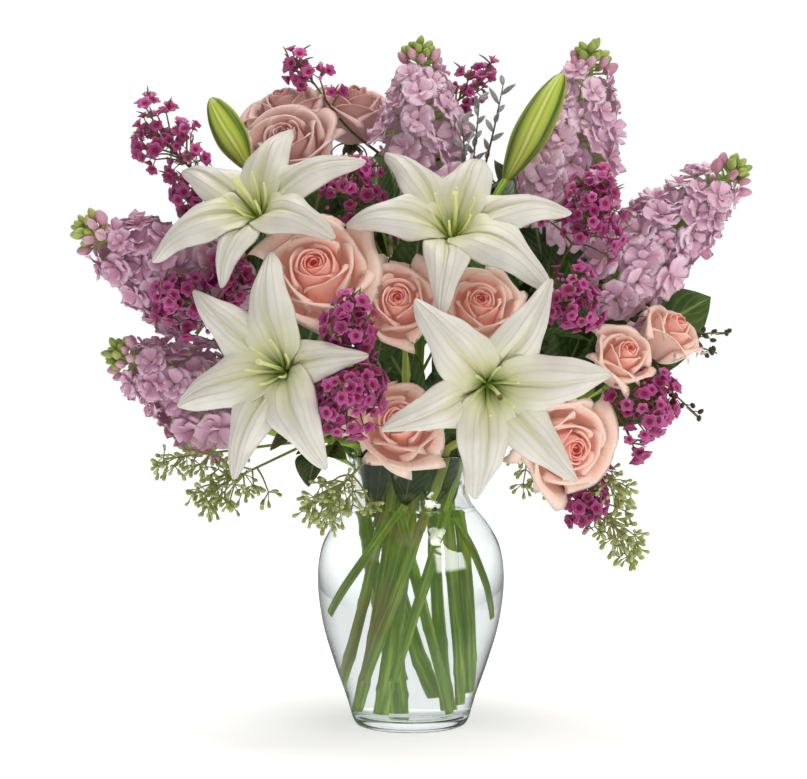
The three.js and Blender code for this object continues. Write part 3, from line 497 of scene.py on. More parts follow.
# %% Run a tree and keep its result
def grown(name, start, tree, values):
    """The mesh that a tree makes from a starting mesh, as a new object."""
    item = bpy.data.objects.new(name + "_start", start)
    bpy.context.scene.collection.objects.link(item)
    live = item.modifiers.new("grow", "NODES")
    live.node_group = tree
    for socket in tree.interface.items_tree:
        if socket.in_out == "INPUT" and socket.name in values:
            live[socket.identifier] = values[socket.name]
    bpy.context.view_layer.update()
    seen = bpy.context.evaluated_depsgraph_get()
    mesh = bpy.data.meshes.new_from_object(
        item.evaluated_get(seen), depsgraph=seen, preserve_all_data_layers=True)
    mesh.name = name
    item.modifiers.remove(live)
    bpy.data.objects.remove(item)
    made = bpy.data.objects.new(name, mesh)
    bpy.context.scene.collection.objects.link(made)
    return made


print("trees to run:", SWEEP.name, "and", SCATTER.name)

# %% [markdown]
# `swept` feeds the first tree lines, and `scattered` feeds the second places. The shapes to set lie in a
# collection outside the scene, and go once they have been set.

# %% Feed the trees
def swept(name, lines, material, sides=8):
    """Round rods along lines. Each line is (points, radii, tone), in millimetres."""
    points = np.concatenate([line[0] for line in lines])
    edges, first = [], 0
    for line in lines:
        edges += [(first + k, first + k + 1) for k in range(len(line[0]) - 1)]
        first += len(line[0])
    mesh = bpy.data.meshes.new(name + "_lines")
    mesh.from_pydata((points * MM).tolist(), edges, [])
    noted(mesh, thick=np.concatenate([np.broadcast_to(line[1], len(line[0])) for line in lines]) * MM,
          tone=np.concatenate([np.full(len(line[0]), line[2], float) for line in lines]))
    return grown(name, mesh, SWEEP, {"Sides": sides, "Finish": material})


def scattered(name, places, shapes, material, size=MM):
    """Shapes set at places. Each place is (point, facing, spin, size, pick, tone), in millimetres."""
    at, facing, spin, sizes, pick, tone = (np.array(column) for column in zip(*places))
    mesh = bpy.data.meshes.new(name + "_places")
    mesh.from_pydata((at * MM).tolist(), [], [])
    noted(mesh, facing=unit(facing), spin=spin.astype(float), size=sizes.astype(float),
          pick=pick.astype(np.int32), tone=tone.astype(float))
    return grown(name, mesh, SCATTER, {"Shapes": shapes, "Finish": material, "Size": size})


def shape_set(name, parts):
    """A few shapes, in millimetres round their own origin, for `scattered` to pick from."""
    group = bpy.data.collections.new(name)
    for k, part in enumerate(parts):
        item = piece(f"{name}_{k}", (part[0] / MM, part[1], part[2]), None)
        bpy.context.scene.collection.objects.unlink(item)
        group.objects.link(item)
    return group


def cleared(group):
    """Removes the shapes once they have been set."""
    for item in list(group.objects):
        bpy.data.objects.remove(item)
    bpy.data.collections.remove(group)


print("feeds: swept and scattered")

# %% [markdown]
# ## Stage, light and camera
#
# The photograph was taken in a white studio: the floor melts into the background, and the light is
# broad and soft, a little stronger from the upper right. A white floor under a white sky does that.
#
# Clear glass on white would be nearly invisible. A photographer draws its edges by keeping the studio
# dark to the sides and behind the camera, where the glass bends and mirrors light from. The floor and
# the sky do the same: what is seen straight is white, and what is seen through or in the glass darkens
# with its place. A light path tells the two apart.

# %% Floor
FLOOR_WHITE, FLOOR_DARK = "#f6f6f6", "#4a4a4a"


def new_material(name, roughness):
    """A new material, its node tree and the sockets of its shader."""
    made = bpy.data.materials.new(name)
    made.use_nodes = True
    sockets = made.node_tree.nodes["Principled BSDF"].inputs
    sockets["Roughness"].default_value = roughness
    return made, made.node_tree, sockets


def coloured(tree, sockets, colour, painted_glow=None):
    """Gives a surface its colour, and can let it glow faintly in it: painted light, for light that shines
    through thin petals and stems, and for light on the floor.
    """
    put(tree, sockets["Base Color"], colour)
    if painted_glow is not None:
        put(tree, sockets["Emission Color"], colour)
        put(tree, sockets["Emission Strength"], painted_glow)


white, tree, sockets = new_material("floor_white", 0.6)
floor_at = add(tree, "ShaderNodeTexCoord").outputs["Object"]
away = add(tree, "ShaderNodeVectorMath", {0: floor_at}, operation="LENGTH").outputs["Value"]
right, back, _ = split(tree, floor_at)
aside = calc(tree, "DIVIDE", calc(tree, "ABSOLUTE", right), calc(tree, "ADD", back, 0.25))
dark = calc(tree, "MAXIMUM", ramp(tree, aside, 0.35, 1.1, 0.0, 0.85),
            ramp(tree, back, -0.06, -0.16, 0.0, 0.9))
rays = add(tree, "ShaderNodeLightPath").outputs
mirrored = calc(tree, "SUBTRACT", rays["Is Glossy Ray"], rays["Is Transmission Ray"], clamp=True)
dark = calc(tree, "MULTIPLY_ADD", mirrored, 0.85, times(tree, dark, rays["Is Transmission Ray"]), clamp=True)
# The floor glows: painted light that whitens it. The glow is weaker within a few centimetres of the vase, so
# the floor is darker round the foot.
coloured(tree, sockets, blend(tree, FLOOR_WHITE, (dark, FLOOR_DARK)), ramp(tree, away, 0.06, 0.35, 0.46, 0.8))

floor_mesh = bpy.data.meshes.new("studio_floor")
floor_mesh.from_pydata([(-6, -3, 0), (6, -3, 0), (6, 9, 0), (-6, 9, 0)], [], [(0, 1, 2, 3)])
floor_mesh.materials.append(white)
floor = bpy.data.objects.new("studio_floor", floor_mesh)
bpy.context.scene.collection.objects.link(floor)
print("the floor is white, and", FLOOR_DARK, "where the glass mirrors it")

# %% [markdown]
# A window shows in the glass as a pale, sharp-edged patch on the vase's neck and shoulder. A small bright
# lamp would do that with much noise. A bright patch of sky that only mirror rays see does it smoothly.

# %% Sky
SKY_LIGHT = 0.3  # what the sky gives as light; seen itself it is pure white
WINDOW_BEARING, WINDOW_HEIGHT, WINDOW_GLOW = (0.56, 1.26), (0.12, 0.8), 15.0


def between(tree, value, low, high, soft=0.03):
    """1 where a value lies between two others, and 0 outside, with soft ends."""
    return times(tree, ramp(tree, value, low - soft, low + soft), ramp(tree, value, high + soft, high - soft))


sky = bpy.data.worlds.new("studio_white")
sky.use_nodes = True
tree, backdrop = sky.node_tree, sky.node_tree.nodes["Background"].inputs
rays = add(tree, "ShaderNodeLightPath").outputs
right, back, up = split(tree, add(tree, "ShaderNodeTexCoord").outputs["Generated"])
through = either(tree, rays["Is Transmission Ray"], SKY_LIGHT, ramp(tree, back, 0.4, 0.85, 0.12, 1.0))
bearing = calc(tree, "ARCTAN2", right, times(tree, back, -1.0))
pane = times(tree, between(tree, bearing, *WINDOW_BEARING), between(tree, up, *WINDOW_HEIGHT),
             calc(tree, "SUBTRACT", rays["Is Singular Ray"], rays["Is Transmission Ray"], clamp=True))
through = calc(tree, "MULTIPLY_ADD", pane, WINDOW_GLOW, through)
put(tree, backdrop["Strength"], either(tree, rays["Is Camera Ray"], through, 1.0))
put(tree, backdrop["Color"], (1, 1, 1, 1))
bpy.context.scene.world = sky
bpy.context.scene.view_settings.view_transform = "Standard"
print("the sky is white, with a window to the right")

# %% [markdown]
# Three large lamps give the petals their form: two windows before the bouquet, of which the right one
# counts, and a panel above it. Mirror rays don't see the windows: the sky shows them the right one.

# %% Lamps
MIDDLE = (0, 0, 0.25)
WARM = (1.0, 0.97, 0.92)


def lamp(name, at, size, power):
    """A soft lamp that looks at the middle of the bouquet."""
    data = bpy.data.lights.new(name, "AREA")
    data.shape = "RECTANGLE"
    data.size, data.size_y = size
    data.energy, data.color = power, WARM
    made = bpy.data.objects.new(name, data)
    made.location = at
    made.rotation_euler = (Vector(MIDDLE) - Vector(at)).to_track_quat("-Z", "Y").to_euler()
    made.visible_glossy = not name.startswith("window")
    bpy.context.scene.collection.objects.link(made)
    print(f"{name}: {power} W")


lamp("window_right", (0.95, -0.85, 1.55), (0.9, 0.7), 14)
lamp("window_left", (-1.2, -1.1, 0.9), (0.35, 0.7), 0.6)
lamp("over_the_top", (-0.25, 0.2, 1.6), (0.9, 0.6), 9.5)

# %% [markdown]
# The camera stands 1.7 m in front and 6 cm above the middle of the bouquet, with a long lens, which is
# what the flat view of the vase's rim and base in the photograph says.

# %% Camera
EYE, AIM, LENS = Vector((-0.005, -1.7, 0.290)), Vector((-0.005, 0, 0.229)), 111.5
camera = bpy.data.objects.new("camera", bpy.data.cameras.new("camera"))
camera.data.lens = LENS
camera.data.sensor_width = 36
camera.location = EYE
camera.rotation_euler = (AIM - EYE).to_track_quat("-Z", "Y").to_euler()
bpy.context.scene.collection.objects.link(camera)
bpy.context.scene.camera = camera
print("camera elevation:", round(math.degrees(math.atan2(EYE.z - AIM.z, AIM.y - EYE.y)), 1), "degrees")

# %% [markdown]
# ## The vase and its water
#
# The vase is a body of revolution: one outline, turned round. Clear glass looks like glass only if it
# has two real surfaces, so the outline runs up the outside, over a rounded lip and down the inside to
# a thick foot. The water is turned in the same way, and reaches a hair's breadth into the glass, since
# a film of air between the two would shine like a mirror.

# %% Outlines
OUTLINE = [(36, 0), (39.5, 5), (44, 20), (52.5, 44), (60, 70), (63.5, 98), (61, 121), (53, 137), (42, 151),
           (38, 162), (39.5, 174), (43, 184)]
WALL, FOOT, WATER_TOP = 3.0, 7.0, 148.0


def outside(height, line=smooth_line(OUTLINE, 12)):
    """The vase's outer radius at a height."""
    return float(np.interp(height, line[:, 1], line[:, 0]))


side = smooth_line(OUTLINE, 6)
lip_turn = np.linspace(-0.2, 0.9, 7)[1:-1] * math.pi
lip = np.stack([side[-1, 0] - WALL / 2 + 1.7 * np.cos(lip_turn), side[-1, 1] + 1.5 * np.sin(lip_turn)], -1)
up = side[side[:, 1] > 1.2]
down = up[::-1] - (WALL, 0)
down = down[down[:, 1] > FOOT + 5]
inner_foot = outside(FOOT) - WALL
floor_line = [(inner_foot - 1.5, FOOT + 2.5), (inner_foot - 6, FOOT + 0.6), (inner_foot * 0.6, FOOT + 0.2),
              (0, FOOT)]
foot_line = [(0, 1.6), (22, 1.4), (30, 0.6), (33.5, 0.0), (35, 0.0), (36.4, 0.5)]
glass_line = np.concatenate([foot_line, up, lip, down, floor_line])
print("the outline of the glass has", len(glass_line), "stations")

# %% [markdown]
# Light that crosses real glass and water in a path tracer ends in a dark shadow, unless the sampler is
# very patient. So for shadow rays both let light straight through, a little dimmed. To the camera they
# stay true glass, with its own bend of light: 1.5 for glass, 1.33 for water.

# %% Glass and water
def relief(tree, sockets, height, depth, strength=1.0):
    """Bump of a real depth in millimetres."""
    bump = add(tree, "ShaderNodeBump", {"Strength": strength, "Distance": depth * MM, "Height": height})
    put(tree, sockets["Normal"], bump.outputs[0])


def see_through(name, tint, shade, ior, waviness):
    made, tree, sockets = new_material(name, 0.0)
    put(tree, sockets["Base Color"], tint)
    for key, value in (("Metallic", 0.0), ("IOR", ior), ("Transmission Weight", 1.0)):
        sockets[key].default_value = value
    place = add(tree, "ShaderNodeTexCoord").outputs["Object"]
    ripple = add(tree, "ShaderNodeTexNoise", {"Vector": place, "Scale": 34.0, "Detail": 1.0}).outputs["Fac"]
    relief(tree, sockets, ripple, 1.0, waviness)
    clear = add(tree, "ShaderNodeBsdfTransparent", {"Color": shade}).outputs[0]
    shadow = add(tree, "ShaderNodeLightPath").outputs["Is Shadow Ray"]
    glass = tree.nodes["Principled BSDF"].outputs[0]
    mixed_in = add(tree, "ShaderNodeMixShader", {0: shadow, 1: glass, 2: clear}).outputs[0]
    put(tree, tree.nodes["Material Output"].inputs["Surface"], mixed_in)
    return made


GLASS = see_through("clear_glass", "#fbfdfd", "#f4f6f6", 1.5, 0.006)
WATER = see_through("still_water", "#fafdfc", "#fbfdfc", 1.333, 0.003)
vase = piece("glass_vase", turned_body(glass_line, 96), GLASS)
finished(vase, "clear_glass", "vase")

# %% [markdown]
# Water climbs a little where it meets the glass. The curved edge catches a thin line of light, which is
# what makes the level readable.

# %% Water
wet = side[(side[:, 1] > FOOT + 5) & (side[:, 1] < WATER_TOP - 1)] - (WALL - 0.4, 0)
edge = outside(WATER_TOP) - WALL + 0.4
meniscus = [(edge, WATER_TOP + 0.8), (edge - 0.9, WATER_TOP + 0.35), (edge - 2.2, WATER_TOP + 0.08),
            (edge - 5, WATER_TOP), (0, WATER_TOP)]
bottom = [(0, FOOT - 0.3), (inner_foot * 0.6, FOOT - 0.1), (inner_foot - 6, FOOT + 0.3),
          (inner_foot - 1.1, FOOT + 2.2)]
water = piece("vase_water", turned_body(np.concatenate([bottom, wet, meniscus]), 96), WATER)
finished(water, "water", "water")

# %% [markdown]
# ## Where the stems run
#
# A florist builds such a bouquet in the hand: every stem is laid slantwise across the last one, so that
# they cross in one narrow tie and spread like the rods of a camping stool, above and below. In the vase
# each stem is thus a straight line that leans round the axis. Above the rim it bends towards its bloom.
# Thirty stems would run through each other there, so they are combed: in many small rounds each bend
# is pushed away from the stems and blooms that it comes too near to. The solid model does just the
# same, so both agree.

# %% Numbers of the tie
GAP = 0.35
TIE_HEIGHT, TIE_RADIUS, TIE_TWIST, RIM_PASS = 120.0, 25.0, -0.0135, 191.0
STEM = {"lily": 4.4, "rose": 3.0, "stock": 3.7, "wax": 1.7, "seeded": 1.7, "green": 1.9}
STALK = {"lily": 2.5, "rose": 2.1, "twig": 0.9, "leaf": 1.2}
REACH = {"stem": 24, "lily": 22, "bud": 18, "rose": 16, "leaf": 6}
LEAF_JOINT = 0.3


def rose_base(name):
    at, facing, _, height = ROSES[name]
    return vec(at) - height * unit(facing)


def leaf_joint(root, tip):
    return vec(root) + LEAF_JOINT * (vec(tip) - vec(root))


def swung(point, climb):
    """Where a stem that passes the tie at a point has swung to, `climb` millimetres above the tie."""
    slant = -climb * TIE_TWIST
    return np.array([point[0] - slant * point[1], point[1] + slant * point[0]])


def on_line(row, height):
    """Where a plant's stem is at a height in the vase."""
    return np.append(swung(row["tie"], height - TIE_HEIGHT), height)


at_rim = swung((TIE_RADIUS, 0), RIM_PASS - TIE_HEIGHT)
print("a stem from the tie's edge swings to", at_rim.round(1), "at the rim")

# %% [markdown]
# Every plant is one row: the name and radius of its stem, where the stem ends and in which direction,
# and the stalks that leave that end. A rose or a stock sits right on its stem. A lily, a spray and a
# green fork first, and each stalk has its own bloom, clump or leaf.

# %% List every plant: a stem, and the stalks that leave its end
def plant(name, radius, end, along, stalks=()):
    return {"name": name, "radius": radius, "end": vec(end), "along": unit(along), "stalks": list(stalks)}


def forked(name, radius, fork, stalks):
    from_point = (0, 0, RIM_PASS if fork[2] < 240 else TIE_HEIGHT)
    return plant(name, radius, fork, vec(fork) - from_point, stalks)


def stalk(end, along, radius, reach, bears):
    return {"end": vec(end), "along": unit(along), "radius": radius, "reach": reach, "bears": bears}


def rose_stalk(name):
    facing = unit(ROSES[name][1])
    return stalk(rose_base(name) - 3 * facing, facing, STALK["rose"], REACH["rose"], name)


def lily_stalk(name):
    facing = unit(LILIES[name][1])
    return stalk(vec(LILIES[name][0]) - (2 + 2 * GAP) * facing, facing, STALK["lily"], REACH["lily"], name)


def bud_stalk(name):
    base, tip, _ = LILY_BUDS[name]
    return stalk(base, vec(tip) - base, STALK["lily"], REACH["bud"], name)


def clump_stalks(name, root, clumps):
    return [stalk(at, vec(at) - root, STALK["twig"], spread, name) for at, spread in clumps]


def leaf_stalks(name, root, tips):
    return [stalk(leaf_joint(root, tip), vec(tip) - leaf_joint(root, tip), STALK["leaf"], REACH["leaf"], name)
            for tip in tips]


PLANTS = [forked(name, STEM["lily"], fork, [*map(lily_stalk, blooms), bud_stalk(bud)])
          for name, (fork, blooms, bud) in LILY_STEMS.items()]
for name, (fork, blooms) in ROSE_STEMS.items():
    ends = [rose_stalk(bloom) for bloom in blooms]
    PLANTS.append(forked(name, STEM["rose"], fork, ends) if fork
                  else plant(name, STEM["rose"], ends[0]["end"], ends[0]["along"]))
PLANTS += [plant(name, STEM["stock"], base, vec(tip) - base) for name, (base, tip) in STOCKS.items()]
for sprays, sort, stalks_of in ((WAXFLOWERS, "wax", clump_stalks), (SEEDED, "seeded", clump_stalks),
                                (GREENS, "green", leaf_stalks)):
    for name, (root, ends) in sprays.items():
        PLANTS.append(forked(name, STEM[sort], root, stalks_of(name, root, ends)))
PLANT = {row["name"]: row for row in PLANTS}
print(len(PLANTS), "stems with", sum(len(row["stalks"]) for row in PLANTS), "stalks")

# %% [markdown]
# In the tie the stems stand side by side on a round area. The steepest stands in the middle, and those
# that lean most stand outside, each on the side that lets it swing towards its bloom. Then they nudge
# each other apart in small steps, and stay within the tie.

# %% Spread the stems over the tie
TIE_ROUNDS, TIE_AIR, NUDGE = 600, 0.25, 0.3


def lean(row):
    return math.hypot(*row["end"][:2]) / (row["end"][2] - TIE_HEIGHT)


order = sorted(PLANTS, key=lean)
for rank, row in enumerate(order):
    turn = math.atan2(*row["end"][1::-1]) - math.atan(-(RIM_PASS + 30 - TIE_HEIGHT) * TIE_TWIST)
    out = TIE_RADIUS * math.sqrt((rank + 0.5) / len(order))
    row["tie"] = [out * math.cos(turn), out * math.sin(turn)]

for _ in range(TIE_ROUNDS):
    for a in PLANTS:
        x, y = a["tie"]
        for b in PLANTS:
            dx, dy = x - b["tie"][0], y - b["tie"][1]
            room = (a["radius"] + b["radius"] + GAP + TIE_AIR) * 1.1
            if a is not b and dx * dx + dy * dy < room * room:
                apart = math.hypot(dx, dy)
                x, y = (x + NUDGE * (room - apart) * dx / (apart or 1),
                        y + NUDGE * (room - apart) * dy / (apart or 1))
        far = math.hypot(x, y)
        pull = min(1.0, (TIE_RADIUS + STEM["lily"] - a["radius"]) / (far or 1))
        a["tie"] = [x * pull, y * pull]
print("the outermost stem passes the tie at", round(max(math.hypot(*row["tie"]) for row in PLANTS), 1), "mm")

# %% [markdown]
# Combing looks at every pair of straight stretches, thousands of them, in each of 160 rounds. Written as
# arrays, one round is a few sums, and the whole takes about a second.

# %% What stems keep out of
def tepal_middle(name, k, u, v, inner):
    """Points of the middle of a lily's k-th tepal, u from -1 to 1 across and v from 0 to 1 along."""
    _, _, reach, turns = LILIES[name]
    even = sum((turn + 60 * i) / 6 for i, turn in enumerate(turns)) - 60 * k
    rib = ((2.5, -1), (0.16 * reach, 0.36 * reach), (0.55 * reach, 0.5 * reach),
           (0.98 * reach, (0.22 if inner else 0.28) * reach))
    at, along = bezier(rib, v)
    swell = 0.24 * (1 - v) + (1 - 0.24 * (1 - v)) * np.maximum(np.sin(np.pi * v**0.85), 0) ** 0.8
    half = np.minimum(0.5 * (0.46 if inner else 0.37) * reach * swell, (0.95 if inner else 0.85) * at[..., 0])
    lift = (1.2 if inner else -1.2) - 0.3 * half * u * u * v * v
    out = at[..., 0] - along[..., 1] * lift
    turn = np.radians(even + (turns[k] - even) * np.minimum(1, 2 * v))
    return turned(out, turn + u * half / np.maximum(out, 2), at[..., 1] + along[..., 0] * lift)


def keep_out_balls():
    """Balls that stems keep out of: (whose, centre, radius)."""
    balls = []
    for name, (at, facing, _, _) in LILIES.items():
        balls.append((name, stand((0, 0, 14), at, facing), 15))
        for k in range(6):
            middle = tepal_middle(name, k, np.zeros(3), np.array([0.4, 0.6, 0.8]), k % 2 == 0)
            balls += [(name, point, 11) for point in stand(middle, at, facing)]
    balls += [(name, rose_base(name) + 0.6 * height * unit(facing), radius)
              for name, (_, facing, radius, height) in ROSES.items()]
    balls += [(name, vec(base) + share * (vec(tip) - base), 19)
              for name, (base, tip) in STOCKS.items() for share in (0.15, 0.4, 0.65)]
    balls += [(name, vec(base) + share * (vec(tip) - base), radius)
              for name, (base, tip, radius) in LILY_BUDS.items() for share in (0.3, 0.65)]
    return balls


balls = keep_out_balls()
ball_at, ball_radius = np.array([b[1] for b in balls]), np.array([b[2] for b in balls], float)
print(len(balls), "balls stand for the lilies, roses, spikes and buds")

# %% [markdown]
# A course is the run of points that one stem or stalk follows: from its foot in the vase through the
# rim to its end, with two points between that are free to move. All points then go into one array, with
# the stretches between them as pairs of its rows.

# %% Courses of the stems
def foot_of(row):
    """Where a stem's cut end stands: just off the vase's floor, or where the stem meets the wall."""
    radii, heights = np.array(OUTLINE).T

    def room(z):
        wide = np.interp(z, heights, radii) - WALL - row["radius"] - 4
        return wide - math.hypot(*swung(row["tie"], z - TIE_HEIGHT))
    height = TIE_HEIGHT - 30
    while height > FOOT + 3 and room(height - 1) > 0:
        height -= 1
    return on_line(row, height)


courses = []
for row in PLANTS:
    start, near = on_line(row, RIM_PASS), row["end"] - REACH["stem"] * row["along"]
    bears = ROSE_STEMS[row["name"]][1][0] if row["name"] in ROSE_STEMS and not row["stalks"] else row["name"]
    points = [foot_of(row), start, mixed(start, near, 0.36), mixed(start, near, 0.7), near, row["end"]]
    courses.append((row, points, row["radius"], (2, 3), 1, bears))
    for twig in row["stalks"]:
        last = twig["end"] - twig["reach"] * twig["along"]
        points = [row["end"].copy(), mixed(row["end"], last, 0.5), last, twig["end"]]
        courses.append((row, points, twig["radius"], (1,), 0, twig["bears"]))

spot = np.concatenate([course[1] for course in courses])
firsts = np.cumsum([0] + [len(course[1]) for course in courses])
stretch = np.array([(first + m, k) for k, (first, course) in enumerate(zip(firsts, courses))
                    for m in range(course[4], len(course[1]) - 1)])
rows, owners = stretch.T
whose = np.array([PLANTS.index(courses[k][0]) for k in owners])
girth = np.array([courses[k][2] for k in owners])
free = np.zeros(len(spot), bool)
for first, course in zip(firsts, courses):
    free[[first + k for k in course[3]]] = True
over_rim = np.array([first + k for first, course in zip(firsts, courses) if course[4] == 1 for k in (2, 3)])
own_ball = np.array([[b[0] == courses[k][5] for b in balls] for k in owners])
mine = np.flatnonzero(free[rows] | free[rows + 1])
print(len(rows), "stretches, of which", len(mine), "may move")

# %% [markdown]
# A point is pushed by every stretch and ball that comes nearer than it should, by no more than 3 mm in
# a round. It is also drawn a little to the middle of its neighbours, which keeps the bends even.

# %% Comb the stems
COMB_ROUNDS, AIR, BLOOM_AIR, MOST_MOVE = 160, 1.4, 1.0, 3.0
STEM_PUSH, BLOOM_PUSH, EVENING = 0.5, 0.3, 0.02


def pushes(p0, p1, q0, q1, room, strength, skip):
    """What each stretch p is pushed by at its two ends, by all stretches q that come nearer than room."""
    d1, d2, r = (p1 - p0)[:, None], (q1 - q0)[None], p0[:, None] - q0[None]
    dot = lambda x, y: (x * y).sum(-1)
    a, e, f, b, c = dot(d1, d1), np.maximum(dot(d2, d2), 1e-9), dot(d2, r), dot(d1, d2), dot(d1, r)
    area = a * e - b * b
    first = np.where(area > 1e-9, np.clip((b * f - c * e) / np.where(area > 1e-9, area, 1), 0, 1), 0.5)
    t = np.clip((b * first + f) / e, 0, 1)
    s = np.clip((b * t - c) / a, 0, 1)
    gap = r + d1 * s[..., None] - d2 * t[..., None]
    apart = np.linalg.norm(gap, axis=-1)
    short = np.where(skip, 0, np.maximum(room - apart, 0))
    push = gap / np.maximum(apart, 1e-12)[..., None] * (short * strength)[..., None]
    return (push * (1 - s)[..., None]).sum(1), (push * s[..., None]).sum(1)


for _ in range(COMB_ROUNDS):
    p0, p1 = spot[rows], spot[rows + 1]
    stem_room = girth[mine, None] + girth[None] + AIR
    ball_room = ball_radius[None] + girth[mine, None] + BLOOM_AIR
    near = pushes(p0[mine], p1[mine], p0, p1, stem_room, STEM_PUSH, whose[mine, None] == whose[None])
    far = pushes(p0[mine], p1[mine], ball_at, ball_at, ball_room, BLOOM_PUSH, own_ball[mine])
    push = np.zeros_like(spot)
    for end in (0, 1):
        np.add.at(push, rows[mine] + end, near[end] + far[end])
    length = np.linalg.norm(push, axis=1, keepdims=True)
    push *= np.minimum(1, MOST_MOVE / np.maximum(length, 1e-12))
    # The points are moved in turn, and each is evened against the one before it where that now lies.
    after = spot.copy()
    for k in np.flatnonzero(free):
        after[k] = spot[k] + push[k] + EVENING * ((after[k - 1] + spot[k + 1]) / 2 - spot[k])
    after[over_rim, 2] = np.maximum(after[over_rim, 2], RIM_PASS + 6)
    spot = after
for first, (_, points, *_) in zip(firsts, courses):
    points[:] = spot[first:first + len(points)]
print("combed in", COMB_ROUNDS, "rounds; the longest last move was", round(float(length.max()), 2), "mm")

# %% [markdown]
# ## What petals, leaves and stems look like close up
#
# No part of a plant has one colour. A petal is paler at its edge and greener at its foot, its veins
# show as faint lines, and no two petals are quite the same. Two effects are in nearly every finish, so
# each is a group that is built once: `veins` draws lines that run along a petal and fan out a little,
# and `mottle` gives soft patches. They hand on masks, and each finish decides what to do with them.

# %% The two shared effects
VEINS, given, result = new_tree("veins", "ShaderNodeTree", [
    ("Grain", "Vector", None), ("Lines", "Float", 9.0), ("Sharpness", "Float", 3.0),
    ("Wander", "Float", 0.6)], [("Veins", "Float")])
along, across, own = split(VEINS, given["Grain"])
drift_at = bundle(VEINS, along, across, times(VEINS, own, 17.0))
drift = add(VEINS, "ShaderNodeTexNoise", {"Vector": drift_at, "Scale": 3.0, "Detail": 2.0}).outputs["Fac"]
fan = times(VEINS, across, times(VEINS, given["Lines"], math.pi))
wander = times(VEINS, drift, times(VEINS, given["Wander"], 12.0))
wave = calc(VEINS, "COSINE", calc(VEINS, "ADD", fan, wander))
crests = calc(VEINS, "POWER", calc(VEINS, "MULTIPLY_ADD", wave, 0.5, 0.5), given["Sharpness"])
put(VEINS, result["Veins"], crests)

MOTTLE, given, result = new_tree("mottle", "ShaderNodeTree", [
    ("Place", "Vector", None), ("Scale", "Float", 60.0), ("Low", "Float", 0.35), ("High", "Float", 0.65)],
    [("Patches", "Float")])
cloud = add(MOTTLE, "ShaderNodeTexNoise", {"Vector": given["Place"], "Scale": given["Scale"], "Detail": 3.0})
put(MOTTLE, result["Patches"], rise(MOTTLE, cloud.outputs["Fac"], given["Low"], given["High"]))


def veins_on(tree, grain, lines, sharpness, wander):
    return add(tree, "ShaderNodeGroup", {
        "Grain": grain, "Lines": lines, "Sharpness": sharpness, "Wander": wander}, node_tree=VEINS).outputs[0]


def mottle_on(tree, scale):
    """Patches that are so many to a metre. They follow the place in the bouquet."""
    place = add(tree, "ShaderNodeTexCoord").outputs["Object"]
    return add(tree, "ShaderNodeGroup", {"Place": place, "Scale": scale}, node_tree=MOTTLE).outputs[0]


def attribute(tree, name, field="Fac"):
    return add(tree, "ShaderNodeAttribute", attribute_name=name).outputs[field]


def new_finish(name, roughness, **more):
    """A material, its tree, its shader's sockets, and the grain that `shell` and `swept` note on a piece."""
    made, tree, sockets = new_material(name, roughness)
    for key, value in more.items():
        sockets[key.replace("_", " ")].default_value = value
    return made, tree, sockets, attribute(tree, "grain", "Vector")


print("shared effects:", VEINS.name, "and", MOTTLE.name)

# %% [markdown]
# ## Lilies
#
# An open lily has six tepals: three broad inner ones over three narrower outer ones. Each leaves the
# throat as part of a funnel, spreads, and bends back at its tip. A deep groove runs up its middle from a
# lime-green throat, and the edge is slightly waved. A florist takes the anthers off, because their pollen
# stains, so only the bare green filaments and the pistil are left.
#
# The tepal's middle line is one bezier curve. The blade is wrapped round the funnel near the throat,
# as the solid model does, and then gets what the solid leaves out: the groove, the wave and the tip.

# %% Lily finish
LILY, tree, sockets, grain = new_finish(
    "lily_tepal", 0.42, Subsurface_Weight=0.08, Subsurface_Scale=0.004, Sheen_Weight=0.05)
along, across, _ = split(tree, grain)
side = calc(tree, "ABSOLUTE", across)
veins = times(tree, veins_on(tree, grain, 8.0, 4.0, 0.6), rise(tree, side, 0.95, 0.3))
patches = mottle_on(tree, 38.0)
throat = rise(tree, along, 0.56, 0.08)
rib = times(tree, rise(tree, side, 0.13, 0.02), rise(tree, along, 0.75, 0.3))
veined = times(tree, veins, rise(tree, along, 0.95, 0.3, 0.0, 0.4), times(tree, throat, 0.5))
green = calc(tree, "MAXIMUM", times(tree, throat, 0.74), times(tree, rib, 0.72))
green = calc(tree, "ADD", green, veined, clamp=True)
lime = blend(tree, "#d3d394", (rise(tree, along, 0.26, 0.04), "#8da236"))
# Along the middle of each tepal, over its groove and more so towards the throat, the ivory turns grey:
# painted shade.
coloured(tree, sockets, blend(
    tree, "#e6e2d9", (patches, "#d8d4c9"),
    (times(tree, rise(tree, side, 0.3, 0.05), rise(tree, along, 0.95, 0.4, 0.0, 0.5)), "#cfcdbd"),
    (times(tree, veins, rise(tree, along, 0.1, 0.5, 0.15, 0.32)), "#bfbba9"), (green, lime)))
put(tree, sockets["Roughness"], calc(tree, "MULTIPLY_ADD", patches, 0.12, 0.38))
relief(tree, sockets, calc(tree, "SUBTRACT", times(tree, veins, 0.6), rib), 0.6, 0.8)
print("finish:", LILY.name)

# %% [markdown]
# Each tepal is a grid of points: v runs from throat to tip and u from edge to edge. A groove, an arch, a
# wave along the edge and a twist are added to the smooth blade as small moves along its normal.

# %% Lily tepals
# How long each tepal looks beside the solid model's, since those that bend back are seen shortened.
LENGTHS = {
    "lily_upper_left": (0.87, 1.03, 0.8, 0.78, 0.98, 0.93),
    "lily_upper_right": (0.86, 1.0, 0.88, 1.0, 1.03, 0.95),
    "lily_lower_left": (0.94, 1.04, 0.97, 0.77, 0.92, 0.97),
    "lily_lower_right": (0.89, 0.86, 0.94, 0.93, 1.0, 0.87),
}


def own_draw(name, shift=0):
    """Random numbers that always start in the same way for the same name."""
    return np.random.RandomState(sum(map(ord, name)) + shift)


